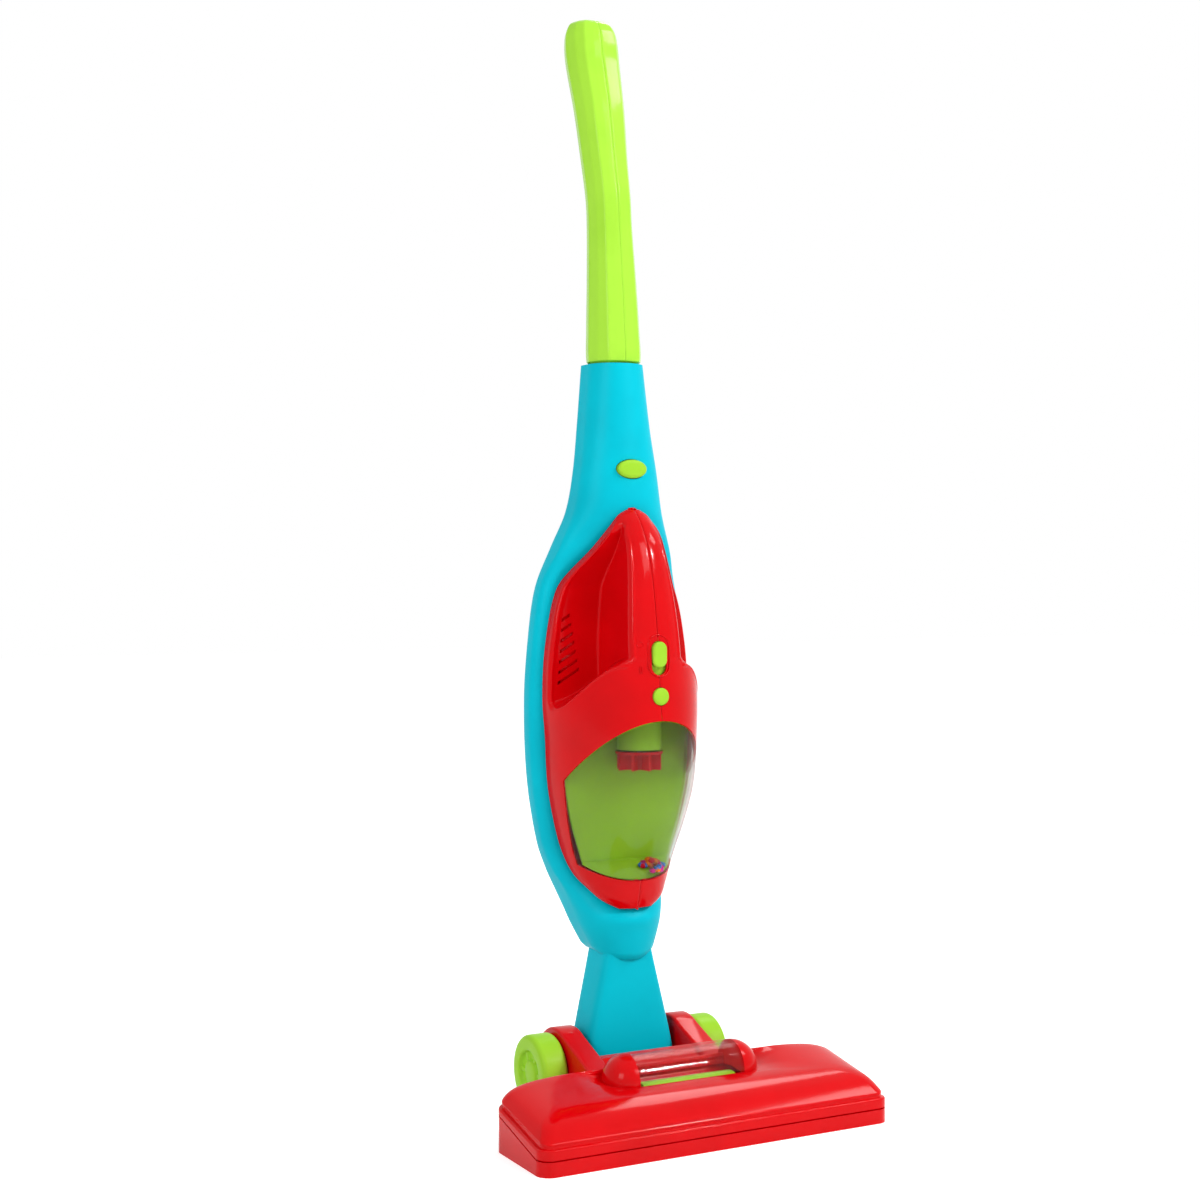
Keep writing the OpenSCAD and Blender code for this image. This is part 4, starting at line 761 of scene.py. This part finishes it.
cupPiece = gridPiece("dustCup", cupGrid(), thickness=cup["thick"])
place(cupPiece, clearShell, "handheld", "clear_plastic", "dust_cup")
liner = {"y": 82.0, "low": 141.0, "high": 227.0, "inset": 1.9, "thick": 2.0, "rows": 60, "cols": 41,
         "deckW": 19.0, "deckFront": 51.5, "deckZ": 225.0, "motorY": 66.5, "hole": 10.3, "around": 96,
         "rings": 8, "floorWide": 0.95, "floorBack": 143.0, "floorRise": 1.0, "floorThick": 0.8,
         "floorRows": 24, "tuck": 0.2}


# wall behind the cup: at each height as wide as the oval section at its depth, a sqrt(1 - c^2), less an inset
def linerBack():
    z = np.linspace(liner["low"], liner["high"], liner["rows"])[:, None]
    v = np.linspace(-1, 1, liner["cols"])[None, :]
    f, b = handFront(z), handBack(z)
    c = (b - liner["y"]) / (b - f)
    w = (handA(z) - liner["inset"]) * np.sqrt(1 - c * c)
    return np.stack([v * w, liner["y"] + 0 * v * w, z + 0 * v], axis=-1)


# deck above the motor: rings that go from the motor's round hole to the deck's rectangle
def linerDeck():
    q = fullTurn(liner["around"])
    v = np.linspace(0, 1, liner["rings"])[:, None]
    near, far = liner["motorY"] - liner["deckFront"], liner["y"] - liner["motorY"]
    toSide = liner["deckW"] / np.maximum(1e-6, np.abs(np.cos(q)))
    toEdge = np.where(np.sin(q) > 0, far, near) / np.maximum(1e-6, np.abs(np.sin(q)))
    r = liner["hole"] + v * (np.minimum(toSide, toEdge) - liner["hole"])
    z = liner["deckZ"] + liner["thick"] + 0 * r
    return np.stack([r * np.cos(q), liner["motorY"] + r * np.sin(q), z], axis=-1)


# floor of the cup: parabolas from the wall down to the sill along the oval section inside the cup
def linerFloor():
    q = liner["floorWide"] * cupEdge * np.linspace(-1, 1, cup["cols"])[None, :]
    v = np.linspace(0, 1, liner["floorRows"])[:, None]
    frontZ = cup["floor"] + cup["sill"] * (q / cupEdge) ** 2 + liner["floorRise"]
    x, frontY = ovalPoint(np.abs(q), frontZ, liner["inset"])
    y = liner["y"] + v * (np.minimum(frontY, liner["y"] - liner["tuck"]) - liner["y"])
    z = liner["floorBack"] + v * v * (np.minimum(frontZ, liner["floorBack"]) - liner["floorBack"])
    return np.stack([np.sign(q) * x + 0 * v, y, z], axis=-1)


cupBack = gridPiece("cupBack", linerBack(), thickness=liner["thick"], turn=False)
place(cupBack, limeSatin, "handheld", "lime_gloss", "cup_liner")
cupDeck = gridPiece("cupDeck", linerDeck(), closed=True, thickness=liner["thick"])
place(cupDeck, limeSatin, "handheld", "lime_gloss")
cupFloor = gridPiece("cupFloor", linerFloor(), thickness=liner["floorThick"])
place(cupFloor, limeSatin, "handheld", "lime_gloss")
bits = {"count": 26, "x": 10.0, "y": 69.5, "z": 137.6, "spreadX": 7.5, "spreadY": 4.5, "slope": 0.5,
        "heap": 6.0, "sides": 6, "r": 2.1, "rings": [0.5, 1.0, 1.0, 0.6], "high": 2.8,
        "levels": [0, 0.35, 0.5, 1.0], "tip": 0.9, "seed": 5}


# faceted bits in a heap: rings from a small base over a girdle to a small table, turned and tipped at random
def bitGrids():
    rng = np.random.default_rng(bits["seed"])
    n = bits["count"]
    far, way = np.sqrt(rng.random(n)), 2 * np.pi * rng.random(n)
    facets = np.arange(bits["sides"]) * 2 * np.pi / bits["sides"]
    q = facets[None, None, :] + 2 * np.pi * rng.random(n)[:, None, None]
    r = bits["r"] * np.array(bits["rings"])[None, :, None]
    h = bits["high"] * np.array(bits["levels"])[None, :, None] + 0 * q
    tip = (bits["tip"] * (rng.random(n) - 0.5))[:, None, None]
    x, y = r * np.cos(q), r * np.sin(q)
    x, h = x * np.cos(tip) + h * np.sin(tip), h * np.cos(tip) - x * np.sin(tip)
    awayX, awayY = bits["spreadX"] * far * np.cos(way), bits["spreadY"] * far * np.sin(way)
    x = x + (bits["x"] + awayX)[:, None, None]
    y = y + (bits["y"] + awayY)[:, None, None]
    rise = bits["z"] + bits["slope"] * awayY + bits["heap"] * (1 - far) * rng.random(n)
    z = h - h.min(axis=(1, 2), keepdims=True) + rise[:, None, None]
    return np.stack([x, y, z], axis=-1)


for i, points in enumerate(bitGrids()):
    bit = gridPiece("bit%02d" % i, points, closed=True, capEnds=True)
    bit.data.polygons.foreach_set("use_smooth", np.zeros(len(bit.data.polygons), bool))
    place(bit, bitColours[i % len(bitColours)], "handheld", "bits", *(["confetti"] if i == 0 else []))
print("handheld built")


# the floor head

head = {"halfW": 110.0, "halfD": 30.0, "corner": 8.0, "cornerSteps": 24, "trayFront": 8.0, "trayRear": 21.0,
        "skirt": 7.0, "skirtStep": 1.0, "skirtFall": 0.4, "rearSkirt": 0.6, "rearLap": 4.0, "crown": 37.0,
        "gap": 0.3, "hem": 0.6, "ledge": 2.2, "tuck": 0.05, "rise": 0.1, "roll": 1.1, "rollSteps": 6,
        "rows": 90, "front": [-0.9, -0.64, -0.32, -0.03], "rear": [0.98, 0.95, 0.93, 0.9],
        "side": [0.975, 0.925, 0.81, 0.6], "highFront": [0.47, 0.66, 0.78, 0.82],
        "highRear": [0.76, 0.88, 0.95, 0.97]}
window = {"r": 15.0, "len": 67.0, "y": 18.8, "z": 30.5, "thick": 1.6, "corner": 10.5, "lap": 2.5, "gap": 0.3,
          "wrap": 0.1, "rows": 40, "cols": 49, "domeRows": 25, "wallRows": 8, "wallEnds": (0.98, 0.02),
          "pole": 0.001}


# parting line between base and cover: level over the front corners, then a straight rise to the rear
def trayTop(y):
    behind = np.maximum(0, y + head["halfD"] - head["corner"])
    rise = (head["trayRear"] - head["trayFront"]) * behind / (2 * head["halfD"] - head["corner"])
    return head["trayFront"] + rise


# a rounded rectangle by angle, as rows of sizes by columns of places round it
def roundedRing(yf, yr, hw, r):
    a = np.concatenate([90 * c + np.linspace(0, 90, head["cornerSteps"]) for c in range(4)])[None, :]
    c = np.repeat(np.arange(4), head["cornerSteps"])[None, :]
    sx = np.where((c == 0) | (c == 3), 1, -1)
    x = sx * (hw - r) + r * np.cos(np.radians(a))
    y = np.where(c < 2, yr - r, yf + r) + r * np.sin(np.radians(a))
    return x, y


# the cover's crown: rounded rings that draw in to the window's opening, on curves through the head's lists
def crownGrid():
    t = np.linspace(0, 1, head["rows"])[:, None]
    hd, hw, step, top = head["halfD"], head["halfW"], head["ledge"], window["z"] - window["gap"]
    places = np.linspace(0, 1, len(head["front"]) + 2)
    front, rear, side = (np.array(head[key]) for key in ("front", "rear", "side"))
    highFront, highRear = (np.array(head[key]) * head["crown"] for key in ("highFront", "highRear"))
    yf = curve(t, places, [step - hd, *(front * hd), window["y"] - window["r"] + window["gap"]])
    yr = curve(t, places, [hd - step, *(rear * hd), hd - head["rearLap"]])
    ww = curve(t, places, [hw - step, *(side * hw), window["len"] / 2 + window["r"] - window["lap"]])
    zf = curve(t, places, [head["trayFront"] + head["skirt"], *highFront, top])
    zr = curve(t, places, [head["trayRear"] + head["rearSkirt"] * head["skirt"], *highRear, top])
    r = head["corner"] - step + t ** 3 * (window["corner"] - head["corner"] + step)
    x, y = roundedRing(yf, yr, ww, r)
    return np.stack([x, y, zf + (zr - zf) * (y - yf) / (yr - yf)], axis=-1)


# the cover: a skirt above the parting line with a quarter round at its top, a narrow ledge, then the crown
def headCover():
    hd, hw, step = head["halfD"], head["halfW"], head["ledge"]
    bend = np.linspace(0, np.pi / 2, head["rollSteps"])
    rollIn, rollDown = head["roll"] * (1 - np.cos(bend)), head["roll"] * (1 - np.sin(bend))
    edge = np.concatenate([[head["hem"], 0.0], rollIn, [step - head["tuck"]]])[:, None]
    drop = np.concatenate([rollDown, [-head["rise"]]])[:, None]
    x, y = roundedRing(edge - hd, hd - edge, hw - edge, head["corner"] - edge)
    back = (y + hd) / (2 * hd)
    low = trayTop(y) + head["gap"]
    high = low + (head["skirt"] - head["skirtStep"]) * (1 - head["skirtFall"] * back)
    z = np.concatenate([low[:1], low[1:2] + head["hem"], high[2:] - drop])
    return np.concatenate([np.stack([x, y, z], axis=-1), crownGrid()])


coverPiece = gridPiece("headCover", headCover(), closed=True, thickness=wall)
place(coverPiece, redAbs, "head", "red_gloss", "head_top_cover")


# the angles round the window's axis: half a turn and a little more at each end
def windowTurn():
    return np.linspace(-window["wrap"], np.pi + window["wrap"], window["cols"])[None, :]


# the window: half a cylinder along X
def windowGrid():
    end = window["len"] / 2 - window["gap"]
    x, q = np.linspace(-end, end, window["rows"])[:, None], windowTurn()
    y, z = window["y"] - window["r"] * np.cos(q), window["z"] + window["r"] * np.sin(q)
    return np.stack([x + 0 * q, y + 0 * x, z + 0 * x], axis=-1)


# an end dome: half of a half ball, x = r cos p at the reach r sin p from its axis, closed by a flat wall
# towards the window
def domeGrid(side):
    p, q = np.linspace(window["pole"], np.pi / 2, window["domeRows"]), windowTurn()
    inward = np.linspace(*window["wallEnds"], window["wallRows"])
    reach = window["r"] * np.concatenate([np.sin(p), inward])[:, None]
    out = window["r"] * np.concatenate([np.cos(p), 0 * inward])[:, None]
    x = side * (window["len"] / 2 + out + 0 * q)
    return np.stack([x, window["y"] - reach * np.cos(q), window["z"] + reach * np.sin(q)], axis=-1)


windowPiece = gridPiece("headWindow", windowGrid(), thickness=window["thick"])
place(windowPiece, clearWindow, "head", "clear_plastic", "head_window")
place(gridPiece("domeRight", domeGrid(1), thickness=wall), redAbs, "head", "red_gloss", "window_end_domes")
place(gridPiece("domeLeft", domeGrid(-1), thickness=wall), redAbs, "head", "red_gloss")

# lipOut is beyond the hub's radius, and lipDeep and capDeep are below the wheel's outer face
wheel = {"x": 45.6, "w": 16.0, "r": 21.8, "edge": 3.0, "edgeSteps": 8, "bore": 2.6, "inner": 4, "around": 192,
         "hub": 13.0, "hubDeep": 3.0, "lipOut": [1.4, 0.4, 0, -0.3], "lipDeep": [0, 0.2, 0.8, 2.8],
         "ribs": 6, "ribHigh": 1.3, "ribEnds": (12.2, 7.8), "ribSteps": 9, "ribFrom": 0.55, "ribOver": 0.3,
         "capR": [7.4, 7.0, 6.0, 4.0, 2.0, 0.02], "capDeep": [2.4, 1.4, 1.0, 0.8, 0.7, 0.7]}


# a wheel: a profile of radius and place along the axle, turned about it, with ribs where a cosine is high
def wheelGrid(side):
    e = np.linspace(0, np.pi / 2, wheel["edgeSteps"])
    r, w, k = wheel["r"], wheel["w"], wheel["edge"]
    ribR = np.linspace(*wheel["ribEnds"], wheel["ribSteps"])
    lip, lipDeep, capDeep = (np.array(wheel[key]) for key in ("lipOut", "lipDeep", "capDeep"))
    outer = np.concatenate([[wheel["bore"], r - k - wheel["inner"]], r - k + k * np.sin(e),
                            r - k + k * np.cos(e), wheel["hub"] + lip, ribR, wheel["capR"]])
    along = np.concatenate([[0, 0], k * (1 - np.cos(e)), w - k + k * np.sin(e), w - lipDeep,
                            np.full(len(ribR), w - wheel["hubDeep"]), w - capDeep])
    q = fullTurn(wheel["around"])
    ribbed = (outer >= ribR[-1]) & (outer <= ribR[0])
    rib = smoothStep((np.cos(wheel["ribs"] * q) - wheel["ribFrom"]) / wheel["ribOver"]) * ribbed[:, None]
    x = side * (wheel["x"] + along[:, None] + wheel["ribHigh"] * rib)
    return np.stack([x, axleY + outer[:, None] * np.cos(q), axleZ + outer[:, None] * np.sin(q)], axis=-1)


for side, name, node in ((-1, "wheelLeft", "left_wheel"), (1, "wheelRight", "right_wheel")):
    place(gridPiece(name, wheelGrid(side), closed=True), limeSatin, node, "lime_gloss", node)

cheek = {"inner": 31.0, "w": 14.0, "r": 24.5, "low": 3.0, "front": 30.0, "top": 27.14, "slope": 30.0,
         "rearTurn": 130.0, "arcSteps": 40, "bevel": 1.8, "bevelSteps": 4, "bevelFrom": 40, "sharpFrom": 30}


# a cheek: a slope from the front onto an arc about the axle, carried across its width, the edges bevelled
def cheekPiece(name, x0):
    low, front, top, r = cheek["low"], cheek["front"], cheek["top"], cheek["r"]
    q = np.radians(np.linspace(-cheek["slope"], cheek["rearTurn"], cheek["arcSteps"]))
    arcY, arcZ = axleY + r * np.sin(q), axleZ + r * np.cos(q)
    keep = arcZ > low
    rearFoot = axleY + np.sqrt(r ** 2 - (axleZ - low) ** 2)
    y = np.concatenate([[front, front, front + low], arcY[keep], [rearFoot]])[None, :]
    z = np.concatenate([[low, top, top], arcZ[keep], [low]])[None, :]
    x = np.array([x0, x0 + cheek["w"]])[:, None]
    points = np.stack([x + 0 * y, y + 0 * x, z + 0 * x], axis=-1)
    piece = gridPiece(name, points, closed=True, capEnds=True)
    edge = piece.modifiers.new("edge", "BEVEL")
    edge.width, edge.segments = cheek["bevel"] * mm, cheek["bevelSteps"]
    edge.limit_method, edge.angle_limit = "ANGLE", np.radians(cheek["bevelFrom"])
    settle(piece)
    piece.data.set_sharp_from_angle(angle=np.radians(cheek["sharpFrom"]))
    return piece


place(cheekPiece("cheekLeft", -cheek["inner"] - cheek["w"]), redAbs, "head", "red_gloss", "left_cheek")
place(cheekPiece("cheekRight", cheek["inner"]), redAbs, "head", "red_gloss", "right_cheek")

# each spring is a piece, its node, its body, its joint and the button's travel in mm
coil = {"turns": 6, "wire": 0.4, "rings": 361, "around": 8,
        "springs": [("releaseSpring", "release_spring", "upright", "release_press", 2.5),
                    ("buttonSpring", "button_spring", "handheld", "button_press", 1.5)]}


# a coil spring along Y that fills the CAD node's box: a small circle carried up a helix
def springGrid(low, high):
    s = np.linspace(0, 1, coil["rings"])[:, None]
    p = fullTurn(coil["around"])
    turn, w = 2 * np.pi * coil["turns"] * s, coil["wire"]
    middle = (low + high) / 2
    r = (high[0] - low[0]) / 2 - w + w * np.cos(p)
    y = low[1] + w + s * (high[1] - low[1] - 2 * w) + w * np.sin(p)
    return np.stack([middle[0] + r * np.cos(turn), y, middle[2] + r * np.sin(turn)], axis=-1)


# each spring is a coil that fills its CAD node's box, on its body
for name, node, rider, joint, travel in coil["springs"]:
    low, high = (np.array(corner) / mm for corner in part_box(node))
    coilPiece = gridPiece(name, springGrid(low, high), closed=True, capEnds=True)
    spring = place(coilPiece, steelRod, rider, "steel", node)
    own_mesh(spring)

# pieces that keep their CAD shape take a finish by name
finishes = [(redAbs, ["head_base", "cover_bosses", "battery_box", "battery_door", "fan"]),
            (cyanAbs, ["neck_pivot", "body_bosses"]),
            (limeSatin, ["brush_roller", "motor_cover"]),
            (steelRod, ["wheel_axle", "roller_pin", "head_screws", "body_screws", "motor", "motor_shaft",
                        "battery_contacts", "door_screw"]),
            (boardGreen, ["switch_board"]),
            (blackPlastic, ["batteries"])]
for material, names in finishes:
    for name in names:
        nodes[name].data.materials.clear()
        nodes[name].data.materials.append(material)
print("floor head built")
